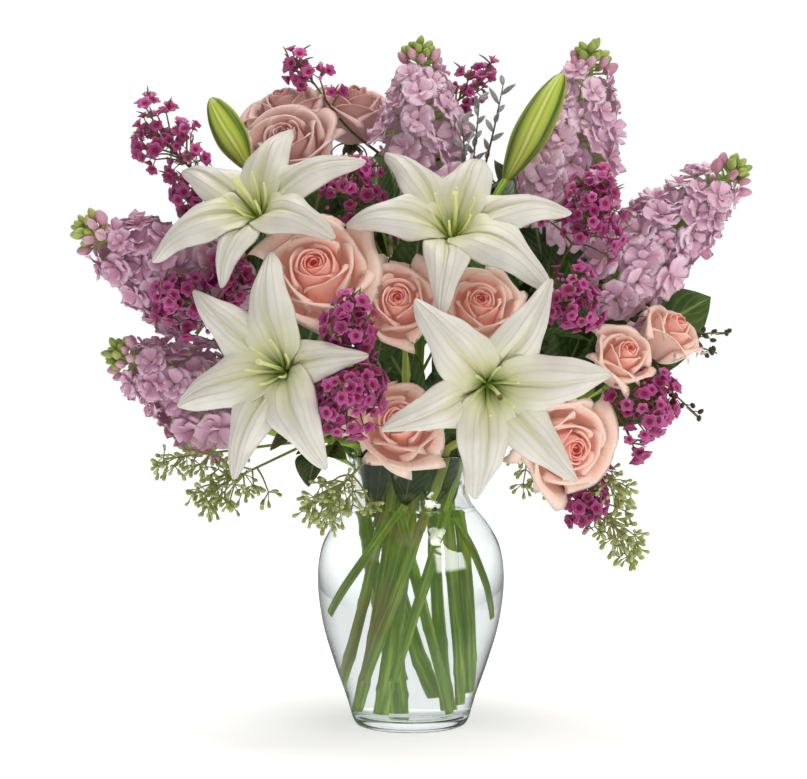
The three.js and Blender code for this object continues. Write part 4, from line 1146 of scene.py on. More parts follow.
def tepal(name, k, rows=44, cols=25):
    """One tepal of a lily, in the bloom's own frame."""
    draw = own_draw(name, 31 * k)
    reach, inner = LILIES[name][2], (k % 2 == 0) != (name == "lily_lower_right")
    v, u = along_and_across(rows, cols)
    v = 1 - (1 - v) ** 1.25
    blunt = np.maximum(1 + 0.18 * step(0.15, 0.5, v), (1.004 - v) ** -0.28 / 1.34)
    middle = tepal_middle(name, k, u * blunt, v, inner) * (1 - (1 - LENGTHS[name][k]) * v)[..., None]
    half = np.linalg.norm(middle[:, -1:] - middle[:, :1], axis=-1) / 2
    normal = unit(np.cross(np.gradient(middle, axis=1), np.gradient(middle, axis=0)))
    normal = normal * np.where(normal[..., 2:] < 0, -1, 1)
    bell = np.sin(np.pi * v) ** 0.7
    fold = np.exp(-((np.abs(u) - 0.42) / 0.09) ** 2)
    groove = bell * (1.9 * (1 - np.exp(-(u / 0.13) ** 2)) - 0.8 + 0.5 * fold)
    arch = -(0.34 if inner else 0.48) * half * u * u * step(0.2, 0.7, v)
    wave = (0.14 if inner else 0.1) * half * step(0.12, 0.5, v) * np.abs(u) ** 3 * np.sin(
        (5 + draw.rand()) * math.pi * v + draw.rand() * TAU + np.sign(u) * draw.rand() * 2)
    twist = draw.uniform(-0.35, 0.35) * half * u * v * v
    middle = middle + normal * (groove + arch + wave + twist)[..., None]
    middle[..., 2] -= reach * draw.uniform(0.05, 0.14) * step(0.6, 1.1, v) ** 1.5
    return shell(middle, 1.1, draw.rand())


for name, (at, facing, reach, turns) in LILIES.items():
    cup = turned_body([(0, -2), (2.6, -2), (3.4, -1), (5.5, 1.5), (6.4, 3), (3.5, 3.6), (0, 3.2)], 18)
    cup[2][:, 0] *= 0.05
    bloom = joined([cup] + [tepal(name, k) for k in range(6)])
    finished(piece(name + "_tepals", moved(bloom, at, facing), LILY), "lily_tepal", name)

# %% [markdown]
# The filaments are thin rods that follow a bent line, so the sweeping tree makes them. The pistil is
# thicker, leans to one side, and ends in a three-lobed stigma.

# %% Filaments and pistil
FILAMENT, tree, sockets, grain = new_finish("lily_filament", 0.4, Subsurface_Weight=0.05)
along, _, tone = split(tree, grain)
stigma = blend(tree, "#6f6a2c", (mottle_on(tree, 700.0), "#4c4a1e"))
coloured(tree, sockets, blend(tree, "#9db443", (rise(tree, along, 0.0, 0.7), "#dfe39c"),
                              (times(tree, tone, rise(tree, along, 0.9, 0.96)), stigma)))
relief(tree, sockets, mottle_on(tree, 900.0), 0.15)

for name, (at, facing, reach, _) in LILIES.items():
    rods = []
    for k in range(6):
        turn, t = (k / 6) * TAU + 0.35, np.linspace(0, 1, 12)
        out = 1.4 + (0.18 * reach - 1.4) * t + 1.8 * np.sin(t * math.pi)
        line = turned(out, turn, 5.5 + (0.46 * reach - 5.5) * t)
        girth = 1.15 - 0.4 * t
        rods.append((stand(line, at, facing), girth, 0.0))
    t = np.linspace(0, 1, 16)
    line = np.stack([t + 1.5 * np.sin(t * 3), -2 * t, 4 + (0.62 * reach - 4) * t], -1)
    girth = np.interp(t, (0, 0.12, 0.5, 0.9, 0.95, 1), (2.4, 1.5, 1.1, 1.2, 2.1, 1.7))
    rods.append((stand(line, at, facing), girth, float(name == "lily_lower_right")))
    finished(swept(name + "_filament_rods", rods, FILAMENT, 10), "lily_filament", name + "_filaments")

# %% [markdown]
# ## Roses
#
# A florist's rose is a spiral. Each new petal stands a golden angle further round, and a little further
# out. The innermost are rolled tight and coral, the outer ones open, pale and curl back at the lip,
# and that curl, folded to a soft point, is what reads as a rose. One rule gives all of them: a
# petal's age, 0 in the heart and 1 outside, sets its reach, its wrap and its curl.

# %% Rose finish
def rose_finish(name, heart, body, rim):
    made, tree, sockets, grain = new_finish(
        name, 0.55, Subsurface_Weight=0.12, Subsurface_Scale=0.004, Sheen_Weight=0.15)
    along, across, age = split(tree, grain)
    edge = rise(tree, calc(tree, "ABSOLUTE", across), 0.8, 1.0, 0.0, 0.7)
    lip = calc(tree, "MAXIMUM", rise(tree, along, 0.74, 1.0), edge)
    veins, patches = veins_on(tree, grain, 14.0, 2.0, 0.9), mottle_on(tree, 55.0)
    colour = blend(tree, heart, (rise(tree, age, 0.05, 0.5), body),
                   (rise(tree, age, 0.45, 0.85, 0.0, 0.8), rim),
                   (times(tree, lip, rise(tree, age, 0.1, 0.7, 0.25, 0.75)), rim),
                   (times(tree, veins, 0.07), heart), (times(tree, patches, 0.14), body))
    # The petals glow faintly in their own colour: painted light, for light that shines through them.
    coloured(tree, sockets, colour, 0.06)
    put(tree, sockets["Roughness"], rise(tree, patches, 0.0, 1.0, 0.5, 0.66))
    relief(tree, sockets, veins, 0.07, 0.5)
    return made


ROSE = rose_finish("rose_petal", "#ea7668", "#f6b4a4", "#fadfcf")
# The three roses at the top get a darker, duller copy of the finish: partly their own dusty pink, partly
# painted shade, as they stand further back.
DUSTY_AND_SHADED_ROSE = rose_finish("dusty_rose_petal", "#bd8480", "#cda19a", "#dfbcb4")
print("finishes:", ROSE.name, DUSTY_AND_SHADED_ROSE.name)

# %% [markdown]
# A rose petal is a grid too. Its middle line rises from the hip, leans out and ends in a small roll, and
# the grid is then wrapped round the rose's axis: nearly once round for the heart, a third for the rest.

# %% Rose petals
def rose_petal(radius, height, age, turn, draw, rows=18, cols=15):
    """One petal round a rose's axis. Its age is 0 in the heart and 1 outside."""
    v, u = along_and_across(rows, cols)
    open_out = step(0.35, 1.0, age)
    top = height * (0.96 + 0.05 * math.sin(math.pi * min(1, age * 2)) - 0.24 * open_out)
    start = 0.3 * height * (1 - age) ** 1.3 + 0.5
    reach = radius * (0.05 + 0.45 * age + 0.4 * open_out)
    belly = radius * (0.16 + 0.62 * age)
    rib = ((0.08 * radius, start), (belly, start), (mixed(belly, reach, 0.35), mixed(start, top, 0.6)),
           (reach, top))
    body = 0.8
    at, way = bezier(rib, np.minimum(v / body, 1))
    # The lip rolls outwards on a small round, and more so at its sides.
    roll = radius * (0.05 + 0.1 * age) * (1 + 0.25 * draw.rand())
    curl = (0.2 + 2.2 * age) * (0.6 + 0.7 * u * u)
    angle = np.clip((v - body) / (1 - body), 0, 1) * curl
    outward = np.stack([way[..., 1], -way[..., 0]], -1)
    at = at + roll * (np.sin(angle)[..., None] * way + (1 - np.cos(angle))[..., None] * outward)
    # The top edge is round, with a soft point, and the sides of an open petal lean back.
    at[..., 1] -= v**2 * height * (0.13 * u * u + 0.03 * np.abs(u)) * (1 + 0.5 * age)
    at[..., 0] *= 1 + (0.11 - 0.03 * age) * u * np.minimum(1, 2 * v) + 0.05 * age * u * u * v
    ripple = np.sin(3.2 * u + draw.rand() * TAU) * 0.03 + np.sin(7 * u + draw.rand() * TAU) * 0.012
    at[..., 0] *= 1 + ripple * v**2 * (0.4 + age)
    wrap = mixed(2.2, 0.92, min(1, age * 1.5)) * np.sin(np.pi * np.minimum(0.5, 0.12 + 0.9 * v))
    wrap = wrap * (1 - 0.1 * v**4)
    return shell(turned(at[..., 0], turn + u * wrap, at[..., 1]), 0.9, age)


print("a rose petal has", len(rose_petal(30, 34, 0.5, 0, own_draw("petal"))[1]), "faces")

# %% [markdown]
# A large rose has 25 petals and a small one 20, set from the inside out.

# %% Roses
DUSTY_AND_SHADED_ROSES = ROSE_STEMS["spray_rose_stem_top"][1]


def rose_bloom(name, petals):
    """All the petals of a rose, round a small solid heart. The dusty ones at the top, whose finish also
    carries painted shade, are fuller and taller.
    """
    _, _, radius, height = ROSES[name]
    if name in DUSTY_AND_SHADED_ROSES:
        radius, height = 1.1 * radius, 1.2 * height
    draw = own_draw(name)
    parts = [turned_body([(0, 0), (0.2 * radius, 0.2), (0.26 * radius, 4), (0.1 * radius, 0.6 * height),
                          (0, 0.66 * height)], 12)]
    for k in range(petals):
        age = (k / (petals - 1)) ** 0.85
        parts.append(rose_petal(radius, height, age, k * GOLDEN + radius + draw.uniform(-0.2, 0.2), draw))
    return joined(parts)


for name, (at, facing, radius, height) in ROSES.items():
    finish, slot_name = (DUSTY_AND_SHADED_ROSE, "dusty_rose_petal") if name in DUSTY_AND_SHADED_ROSES else (ROSE, "rose_petal")
    bloom = rose_bloom(name, 25 if radius > 26 else 20)
    finished(piece(name + "_petals", moved(bloom, rose_base(name), facing), finish), slot_name, name)

# %% [markdown]
# ## Lily buds
#
# A closed bud shows three broad outer tepals, each with a raised midrib, and a seam where two of them meet.
# So its girth swells and sinks three times on the way round. Its green darkens towards the seams and in two
# lines beside each midrib, as painted shade, and a pale line along each midrib's crest is a painted
# highlight.

# %% Lily buds
BUD, tree, sockets, grain = new_finish("lily_bud", 0.38, Subsurface_Weight=0.06)
along, _, height = split(tree, grain)  # how high above the seams, from 0 to 1
veins = veins_on(tree, grain, 5.0, 2.0, 0.3)
# Painted shade towards the seams and beside each midrib, and a painted highlight along its crest.
coloured(tree, sockets, blend(
    tree, "#4f6d1c", (rise(tree, height, 0.02, 0.4), "#9db437"),
    (rise(tree, height, 0.4, 0.75), "#b9ca4c"), (rise(tree, height, 0.84, 0.93, 0.0, 0.5), "#7f962b"),
    (rise(tree, height, 0.96, 0.99), "#d3dc78"),
    (times(tree, veins, 0.18), "#dbe28a"), (times(tree, rise(tree, along, 0.3, 0.0), 0.5), "#7d9c35")))
put(tree, sockets["Roughness"], rise(tree, mottle_on(tree, 120.0), 0.0, 1.0, 0.3, 0.45))
relief(tree, sockets, veins, 0.15, 0.5)


def lily_bud(name, spin):
    base, tip, radius = LILY_BUDS[name]
    length = float(np.linalg.norm(vec(tip) - base))
    outline = smooth_line([(0.22, 0), (0.5, 0.1), (0.9, 0.33), (0.98, 0.52), (0.84, 0.74), (0.5, 0.92),
                           (0.16, 1.0)], 5)
    profile = np.concatenate([[(0, -0.03)], outline, [(0, 1.006)]]) * (radius, length)

    def phase(turn, along):
        """The angle that runs three times round the bud, and half a turn along it."""
        return 3 * (turn + spin + 0.5 * along)

    def girth(turn, along):
        seam = (np.mod(phase(turn, along), TAU) - math.pi) / 0.45
        return 1 + 0.075 * np.cos(phase(turn, along)) - 0.09 * np.exp(-seam ** 2)

    points, faces, traits = turned_body(profile, 48, girth)
    turn = np.tile(np.arange(48) * TAU / 48, len(profile))
    traits[:, 2] = 0.5 + 0.5 * np.cos(phase(turn, traits[:, 0]))
    return moved((points, faces, traits), base, vec(tip) - base)


for name, (_, _, bud) in LILY_STEMS.items():
    body = lily_bud(bud, 1.0 if bud == "bud_right" else 0.0)
    finished(piece(name.replace("stem", "bud"), body, BUD), "green_stem", name)

# %% [markdown]
# ## Stocks
#
# A stock is a spike of double florets, each a ruffle of thin lilac petals, packed so closely that the
# stem can't be seen. Towards the top they get smaller, then come closed pink buds, and green ones at the
# very tip. Six different florets are modelled, and the tree sets them in a spiral round the axis.

# %% Stock finish
STOCK, tree, sockets, grain = new_finish(
    "stock_petal", 0.6, Subsurface_Weight=0.1, Subsurface_Scale=0.003, Sheen_Weight=0.1)
along, _, _ = split(tree, grain)
veins, patches = veins_on(tree, grain, 6.0, 2.0, 0.8), mottle_on(tree, 70.0)
colour = blend(tree, "#bf82a3", (attribute(tree, "tone"), "#f4d3e3"),
               (rise(tree, along, 0.5, 1.0, 0.0, 0.5), "#f7e6f0"),
               (rise(tree, along, 0.28, 0.05, 0.0, 0.75), "#dcdcae"),
               (times(tree, veins, 0.22), "#c480a6"), (times(tree, patches, 0.2), "#cf97b8"))
# The florets glow faintly in their own colour: painted light, for light that shines through the petals.
coloured(tree, sockets, colour, 0.05)
put(tree, sockets["Roughness"], rise(tree, patches, 0.0, 1.0, 0.52, 0.7))
relief(tree, sockets, veins, 0.12, 0.6)
print("finish:", STOCK.name)

# %% [markdown]
# A floret has three rings of petals, the outer ones flat and the inner ones nearly upright.

# %% Stock florets
def fanned(out, across, height, turn):
    """The middle of a petal that leaves its bloom's axis in the direction `turn`."""
    c, s = math.cos(turn), math.sin(turn)
    return np.stack([out * c - across * s, out * s + across * c, height], -1)


def ruffled_petal(length, width, lift, turn, ruffle, draw, rows=7, cols=7):
    """A petal of a floret that looks along z. It rises by `lift` and its round end is waved."""
    v, u = along_and_across(rows, cols)
    half = width * (0.16 + 0.84 * np.sin(np.pi * (0.5 * v + 0.42 * v**3)) ** 0.8)
    at, _ = bezier([(0.5, 0), (0.25 * length, 0.5 * lift * length), (0.7 * length, (lift + 0.1) * length),
                    (length, lift * length)], v)
    wave = np.sin(2.4 * u + draw.rand() * TAU) + 0.7 * np.sin(5 * u + draw.rand() * TAU)
    height = at[..., 1] + ruffle * v**2 * wave + draw.uniform(-0.05, 0.14) * length * u * u * v
    return shell(fanned(at[..., 0] * (1 - 0.1 * u * u * v), u * half, height, turn), 0.7, draw.rand())


def stock_floret(seed):
    draw = np.random.RandomState(seed)
    spin = lambda k, of: (k + draw.uniform(-0.2, 0.2)) * TAU / of
    petals = [ruffled_petal(15, 8.6, draw.uniform(-0.05, 0.3), spin(k, 4), 1.5, draw) for k in range(4)]
    petals += [ruffled_petal(12, 7, draw.uniform(0.2, 0.7), spin(k + 0.5, 4), 1.7, draw) for k in range(3)]
    petals += [ruffled_petal(7, 4, draw.uniform(0.8, 1.3), spin(k, 3), 0.8, draw, 5, 5) for k in range(2)]
    return joined(petals)


print("a floret has", len(stock_floret(0)[1]), "faces")

# %% [markdown]
# The florets' places follow the golden angle, which is how a real spike packs them, with small shifts.

# %% Spikes of florets
# How much fuller each spike looks than the solid one, and between which tones its florets lie: the two spikes
# on the left are darker, as painted shade, and the top one lighter, as painted light.
BREADTH = {"stock_top_right": 1.4, "stock_top": 1.3, "stock_low_left": 1.2, "stock_left": 1.25,
           "stock_right": 1.2}
PAINTED_SHADE_AND_LIGHT_TONES = {"stock_left": (0.0, 0.4), "stock_low_left": (0.0, 0.5), "stock_top": (0.6, 1.0)}


def spike_places(name):
    """Where a spike's florets stand: (point, facing, spin, size, pick, tone)."""
    base, tip = map(vec, STOCKS[name])
    axis, length = unit(tip - base), float(np.linalg.norm(tip - base)) - 26
    draw = np.random.RandomState(len(name) + int(length))
    count, breadth, tones = round(length / 2.3), BREADTH.get(name, 1.0), PAINTED_SHADE_AND_LIGHT_TONES.get(name, (0.35, 1.0))
    places = []
    for k in range(count):
        share = (k + 0.5) / count
        turn = k * GOLDEN + draw.uniform(-0.3, 0.3)
        out = breadth * (25 - 14 * share**1.5) * draw.uniform(0.62, 1.1)
        way = turned(1, turn, -0.25 + 1.0 * share + draw.uniform(-0.3, 0.3))
        at = stand(turned(out, turn, 4 + share * length), base, axis)
        to = stand(way, (0, 0, 0), axis)
        places.append((at, to, draw.uniform(0, TAU), (1.1 - 0.42 * share**2) * draw.uniform(0.9, 1.1),
                       draw.randint(6), draw.uniform(*tones)))
    return places


florets = shape_set("stock_floret", [stock_floret(seed) for seed in range(6)])
for name in STOCKS:
    spike = scattered(name + "_florets", spike_places(name), florets, STOCK)
    finished(spike, "stock_petal", name + "_flowers")
cleared(florets)

# %% [markdown]
# ## Green parts
#
# Stems, stalks, calyxes and closed buds are all green, but never one green: a young shoot is yellower,
# an old one browner, and long pale streaks follow the fibres.

# %% Green finishes
def stem_finish(name, fresh, pale, old):
    made, tree, sockets, grain = new_finish(name, 0.42, Subsurface_Weight=0.03)
    _, reach, tone = split(tree, grain)
    fibre = bundle(tree, times(tree, attribute(tree, "around"), 9.0), times(tree, reach, 26.0), tone)
    streaks = add(tree, "ShaderNodeTexNoise", {"Vector": fibre, "Scale": 1.0, "Detail": 3.0}).outputs["Fac"]
    worn = times(tree, mottle_on(tree, 26.0), rise(tree, tone, 0.2, 1.0, 0.1, 1.0))
    # Stems and twigs glow faintly in their own colour: painted light, which brightens them where the blooms
    # and the water shade them.
    coloured(tree, sockets, blend(tree, fresh, (rise(tree, streaks, 0.4, 0.68), pale), (worn, old)), 0.08)
    put(tree, sockets["Roughness"], rise(tree, streaks, 0.3, 0.7, 0.36, 0.52))
    relief(tree, sockets, streaks, 0.25, 0.6)
    return made


STEM_GREEN = stem_finish("stem_green", "#79a83c", "#c0df5a", "#a08a55")
TWIG = stem_finish("waxflower_twig", "#4e5a2c", "#77783c", "#5b3a2e")
SEED_TWIG = stem_finish("eucalyptus_twig", "#7d8f4e", "#a7b36c", "#8a7a4a")


def leaf_finish(name, dark, light, rib_colour):
    made, tree, sockets, grain = new_finish(name, 0.4, Subsurface_Weight=0.03)
    along, across, own = split(tree, grain)
    side = calc(tree, "ABSOLUTE", across)
    slanting = calc(tree, "SINE", calc(tree, "SUBTRACT", times(tree, along, 34.0), times(tree, side, 9.0)))
    nerves = calc(tree, "POWER", calc(tree, "ABSOLUTE", slanting), 10.0)
    rib, patches = rise(tree, side, 0.1, 0.0), mottle_on(tree, 45.0)
    coloured(tree, sockets, blend(
        tree, dark, (patches, light), (times(tree, own, 0.45), light),
        (calc(tree, "MAXIMUM", rib, times(tree, nerves, 0.25)), rib_colour)))
    put(tree, sockets["Roughness"], rise(tree, patches, 0.0, 1.0, 0.32, 0.5))
    relief(tree, sockets, calc(tree, "SUBTRACT", times(tree, nerves, -0.4), rib), 0.35, 0.8)
    return made


LEAF = leaf_finish("leaf_green", "#1f3917", "#3f6529", "#7f9d57")
print("green finishes:", STEM_GREEN.name, TWIG.name, SEED_TWIG.name, LEAF.name)

# %% [markdown]
# A stem follows its combed course as a smooth line. What stands in the vase stays straight.

# %% Stem lines
def stem_line(points, straight=False):
    """A smooth line through a course. The stretch inside the vase stays straight."""
    points = [vec(p) for p in points]
    if straight:
        foot, rim = points[0], points[1]
        points = [mixed(foot, rim, t) for t in (0, 0.25, 0.5, 0.75, 0.92)] + points[1:]
    line = smooth_line(points, 8)
    gaps = np.linalg.norm(np.diff(line, axis=0), axis=1)
    run = np.concatenate([[0], np.cumsum(gaps)])
    steps = np.linspace(0, run[-1], max(4, int(run[-1] / 4)))
    return np.stack([np.interp(steps, run, line[:, k]) for k in range(3)], -1), steps


def stem_girth(steps, radius, knots, draw):
    """A stem's radius along it: a little uneven, with a swelling at each joint."""
    girth = radius * (1 + 0.03 * np.sin(steps * 0.11 + draw.rand() * TAU))
    if knots:
        where = np.arange(draw.uniform(12, 30), steps[-1], knots)
        where = where + draw.uniform(-6, 6, len(where))
        for knot in where:
            girth = girth * (1 + 0.16 * np.exp(-((steps - knot) / 3.2) ** 2))
    return girth


print("a stem of 200 mm has", len(stem_line([(0, 0, 0), (0, 0, 200)])[1]), "points")

# %% [markdown]
# The photo shows only a dozen stems in the water, so the thin ones and three thick ones end in the tie,
# as stems that were cut short. Four thick ones stand on feet of their own, and lean across the rest.

# %% Stems as they look
SHORT = ("stock_top", "stock_back", "spray_rose_stem_top")
FEET = {"stock_right": (35, -10, 26), "stock_top_right": (30, -17, 18), "spray_rose_stem_back": (15, 27, 12),
        "rose_stem_left": (24, -23, 12)}
# Two side shoots lean out from the tie to the wall, one to each side: (line, radius, tone).
SIDE_SHOOTS = [
    (vec([(-4, -31, 152), (-24, -35, 122), (-41, -32, 98), (-52.5, -24, 79)]), 3.0, 0.1),
    (vec([(26, -20, 140), (38, -24, 118), (47, -26, 98), (53.5, -25, 76)]), 2.7, 0.2),
]


def cut_short(name, points):
    """The course of a stem as it looks: ended in the tie, moved to a foot of its own, or as it was combed."""
    row, points = PLANT[name], list(points)
    if row["radius"] < 2 or name in SHORT:
        points[0] = on_line(row, TIE_HEIGHT + 22 + 12 * math.sin(len(name) + points[0][0]))
    elif name in FEET:
        points[0] = vec(FEET[name])
    return points


def course_lines(name, knots=0, tone=0.2):
    """The stem of a plant and its stalks, as lines to sweep."""
    draw = own_draw(name)
    lines = []
    for row, points, radius, _, first, _ in courses:
        if row["name"] == name:
            main = first == 1
            line, steps = stem_line(cut_short(name, points) if main else points, main)
            girth = stem_girth(steps, radius, knots if main else 0, draw)
            lines.append((line, girth, tone + draw.uniform(-0.1, 0.4)))
    return lines


print("the stem of the left rose has", len(course_lines("rose_stem_left")[0][0]), "points")

# %% [markdown]
# A leaf is the same kind of grid as a petal: it narrows to both ends, folds along its midrib and arches.
# Under each rose sits a small green hip with five pointed sepals, which bend down when the bloom opens.

# %% Leaves and sepals
def blade_leaf(root, tip, width, sag, own, rows=14, cols=9, wave=0.0, point=0.9, face=None):
    """A leaf that arches by `sag`. Its upper side looks along `face`, or up and outwards."""
    root, tip = vec(root), vec(tip)
    v, u = along_and_across(rows, cols)
    along = tip - root
    side = unit(np.cross(along, (*(0.9 * unit(tip[:2])), 0.6) if face is None else face))
    up = unit(np.cross(side, along))
    half = width / 2 * (0.1 * (1 - v) + np.sin(np.pi * v**point) ** 0.85)
    lift = sag * np.sin(np.pi * v) + 0.22 * half * u * u + wave * np.sin(9 * v + 3 * np.sign(u)) * u * u
    lift = lift - 0.25 * (np.exp(-(u / 0.15) ** 2)) * np.sin(np.pi * v) * 3
    middle = root + v[..., None] * along + (u * half)[..., None] * side + lift[..., None] * up
    return shell(middle, 0.9, own)


def sepals(name, length=17):
    """The hip and sepals under a rose."""
    draw = own_draw(name, 5)
    parts = [turned_body([(0, -8.5), (2.4, -8), (4.4, -5.5), (5, -3), (4.6, -1), (3, -0.4), (0, -0.4)],
                         14, own=0.3)]
    for k in range(5):
        turn = k * TAU / 5 + draw.rand() * 0.4
        v, u = along_and_across(9, 5)
        out = 3.2 + length * 0.62 * np.sin(1.5 * v)
        half = 2.7 * (1 - v) ** 0.7 * (0.75 + 0.5 * np.sin(np.pi * v))
        height = -1.6 - draw.uniform(0.3, 0.7) * length * v**1.6 + 0.2 * np.abs(u) * half
        parts.append(shell(fanned(out, u * half, height, turn), 0.8, draw.rand()))
    return moved(joined(parts), rose_base(name), ROSES[name][1])


print("the left rose stands on", len(sepals("rose_left")[0]), "points of hip and sepals")

# %% [markdown]
# Each stem is swept with its stalks as one piece, so its colour runs on from one to the other.

# %% Stems of the lilies and roses
for name, (_, blooms) in ROSE_STEMS.items():
    finished(swept(name + "_rods", course_lines(name, 38, 0.3), STEM_GREEN, 12), "green_stem", name)
    finished(piece(name + "_sepals", joined([sepals(bloom) for bloom in blooms]), LEAF), "leaf", name)
for name, shoot in zip(LILY_STEMS, SIDE_SHOOTS):
    finished(swept(name + "_rods", course_lines(name, 55, 0.1) + [shoot], STEM_GREEN, 14), "green_stem", name)

# %% [markdown]
# The green of a stock is its stem, a short stalk under each floret, and the closed buds round its tip.

# %% Green parts of the stocks
def closed_bud(length, radius, sides=8):
    shape = smooth_line([(0.3, 0), (0.85, 0.22), (1.0, 0.5), (0.75, 0.8), (0.28, 1.0)], 2)
    profile = np.concatenate([[(0, -0.02)], shape, [(0, 1.02)]]) * (radius, length)
    return turned_body(profile, sides, lambda turn, along: 1 + 0.12 * np.cos(4 * turn))


def tip_places(name):
    """Closed buds round the tip of a spike, green at the top and pink below, and their stalks."""
    base, tip = map(vec, STOCKS[name])
    axis = unit(tip - base)
    draw = np.random.RandomState(len(name))
    green, pink, lines = [], [], []
    for k in range(22):
        share = k / 21
        out = 10.5 * (1 - share) ** 0.7 + 0.5
        root = stand((0, 0, -26 + 18 * share), tip, axis)
        height = -21 + 14 * share
        at = stand(turned(out * draw.uniform(0.8, 1.1), k * GOLDEN, height + draw.uniform(-1, 2)), tip, axis)
        spin, size = draw.uniform(0, TAU), draw.uniform(0.8, 1.15) * (1 - 0.25 * share)
        (pink if k < 9 else green).append((at, unit(at - root) + 0.55 * axis, spin, size, 0, draw.rand()))
        lines.append((np.array([root, mixed(root, at, 0.5) + 0.8 * axis, at]), 0.8, 0.1))
    return green, pink, lines


BUD_GREEN = leaf_finish("bud_green", "#8ba345", "#b4c46a", "#cdd893")
BUD_PINK = leaf_finish("bud_pink", "#c9839f", "#e3b0c5", "#b9b98a")
tip_buds = shape_set("stock_bud", [closed_bud(10.5, 3.3)])
for name, (base, tip) in STOCKS.items():
    green, pink, lines = tip_places(name)
    axis = unit(vec(tip) - base)
    course = next(points for row, points, *_ in courses if row["name"] == name)
    line, steps = stem_line(cut_short(name, course) + [vec(tip) - 12 * axis], True)
    thinner = np.interp(steps, (steps[-1] - 60, steps[-1]), (1, 0.35))
    lines.append((line, stem_girth(steps, STEM["stock"], 60, np.random.RandomState(7)) * thinner, 0.15))
    for at, to, *_ in spike_places(name):
        root = stand((0, 0, float((at - base) @ axis) - 5), base, axis)
        lines.append((np.array([root, mixed(root, at, 0.6), at - 0.6 * unit(to)]), (0.7, 0.9, 1.5), 0.1))
    finished(swept(name + "_stem_rods", lines, STEM_GREEN, 10), "green_stem", name + "_stem")
    finished(scattered(name + "_green_buds", green, tip_buds, BUD_GREEN), "green_stem", name + "_stem")
    finished(scattered(name + "_pink_buds", pink, tip_buds, BUD_PINK), "stock_petal", name + "_flowers")
cleared(tip_buds)

# %% [markdown]
# ## Sprays
#
# A spray of waxflower or of eucalyptus branches twice: side twigs leave the main one in a spiral, and
# each ends in a bunch of short stalks with a flower, a bud or a seed on every one. A flower is left out
# where a larger bloom is in its way.

# %% Keep clear of the large blooms
def large_blooms():
    """The lilies, roses and stocks as one search tree."""
    points, faces = [], []
    for item in bpy.data.objects:
        if item.type == "MESH" and item.name.endswith(("_tepals", "_petals", "_florets")):
            first = len(points)
            points += [v.co / MM for v in item.data.vertices]
            faces += [[first + k for k in face.vertices] for face in item.data.polygons]
    return BVHTree.FromPolygons(points, faces)


BLOOMS = large_blooms()


def clear_of_blooms(at, room):
    return BLOOMS.find_nearest(Vector(at), room)[0] is None


print("is the middle of the vase clear of large blooms?", clear_of_blooms((0, 0, 90), 5))

# %% [markdown]
# Side twigs leave the outer half of each stalk. No two ends of one spray may touch.

# %% Rule of a spray
def twig_line(start, middle, end, thick, thin, tone):
    """A bowed twig, as a line to sweep."""
    line = smooth_line([start, middle, end], 3)
    return line, np.linspace(thick, thin, len(line)), tone


def spray(name, clumps, seed, twigs, bunch, stalk_length, room, droop=0.0):
    """The ends of a spray's stalks as (point, way, clump), and all its twigs as lines to sweep."""
    draw = np.random.RandomState(seed)
    row = PLANT[name]
    runs = [c for c in courses if c[0] is row]
    line, steps = stem_line(cut_short(name, runs[0][1]), True)
    lines = [(line, stem_girth(steps, runs[0][2], 0, draw), 0.3)]
    ends, taken = [], []
    for (_, points, radius, *_), (middle, spread) in zip(runs[1:], clumps):
        line, steps = stem_line(points)
        lines.append((line, np.linspace(radius * 1.3, radius * 0.7, len(line)), 0.5))
        count = round(twigs * spread)
        for k in range(count):
            share = (k + 0.5) / count
            start = line[int((len(line) - 1) * (0.55 + 0.44 * share))]
            axis = unit(np.asarray(middle) - points[1])
            way = stand(turned(1, k * GOLDEN + draw.uniform(-0.4, 0.4), 0.3 + 1.6 * share), (0, 0, 0), axis)
            way = unit(way - (0, 0, droop))
            goal = start + way * spread * draw.uniform(0.4, 1.15) * (1.1 - 0.35 * share)
            if not clear_of_blooms(goal, 2.5):
                continue
            bend = mixed(start, goal, 0.5) + (0, 0, 0.08 * spread)
            lines.append(twig_line(start, bend, goal, 0.75, 0.5, draw.rand()))
            for m in range(bunch):
                side = stand(turned(1, m * GOLDEN + draw.rand(), draw.uniform(0.1, 0.9)), (0, 0, 0), way)
                at = goal + side * stalk_length * draw.uniform(0.7, 1.2)
                at = at - (0, 0, droop * draw.uniform(0, stalk_length))
                crowded = taken and np.min(np.linalg.norm(np.array(taken) - at, axis=1)) < room * 1.25
                if crowded or not clear_of_blooms(at, room):
                    continue
                taken.append(at)
                ends.append((at, unit(at - goal) + 0.4 * way, middle))
                lines.append((np.array([goal, mixed(goal, at, 0.55) + (0, 0, 0.5), at]), 0.38, draw.rand()))
    return ends, lines


print("sprays to make:", len(WAXFLOWERS) + len(SEEDED))

# %% [markdown]
# A waxflower is a shallow dish with five round petals and a dark red heart. Seen from afar only the
# outline and the colours tell, so the dish has few faces, and its colours come from how far out a point is.

# %% Waxflower finish and shapes
WAX, tree, sockets, grain = new_finish("waxflower_petal", 0.42, Subsurface_Weight=0.05)
along, _, _ = split(tree, grain)
petal, patches = blend(tree, "#a01c6a", (attribute(tree, "tone"), "#dc54a8")), mottle_on(tree, 160.0)
coloured(tree, sockets, blend(
    tree, "#63082f", (rise(tree, along, 0.18, 0.36), petal),
    (rise(tree, along, 0.42, 0.58, 0.0, 0.45), "#e89cce"),
    (rise(tree, along, 0.06, 0.0, 0.0, 0.5), "#d9a0a0"), (times(tree, patches, 0.3), "#8f2158")))
put(tree, sockets["Roughness"], rise(tree, patches, 0.0, 1.0, 0.35, 0.55))


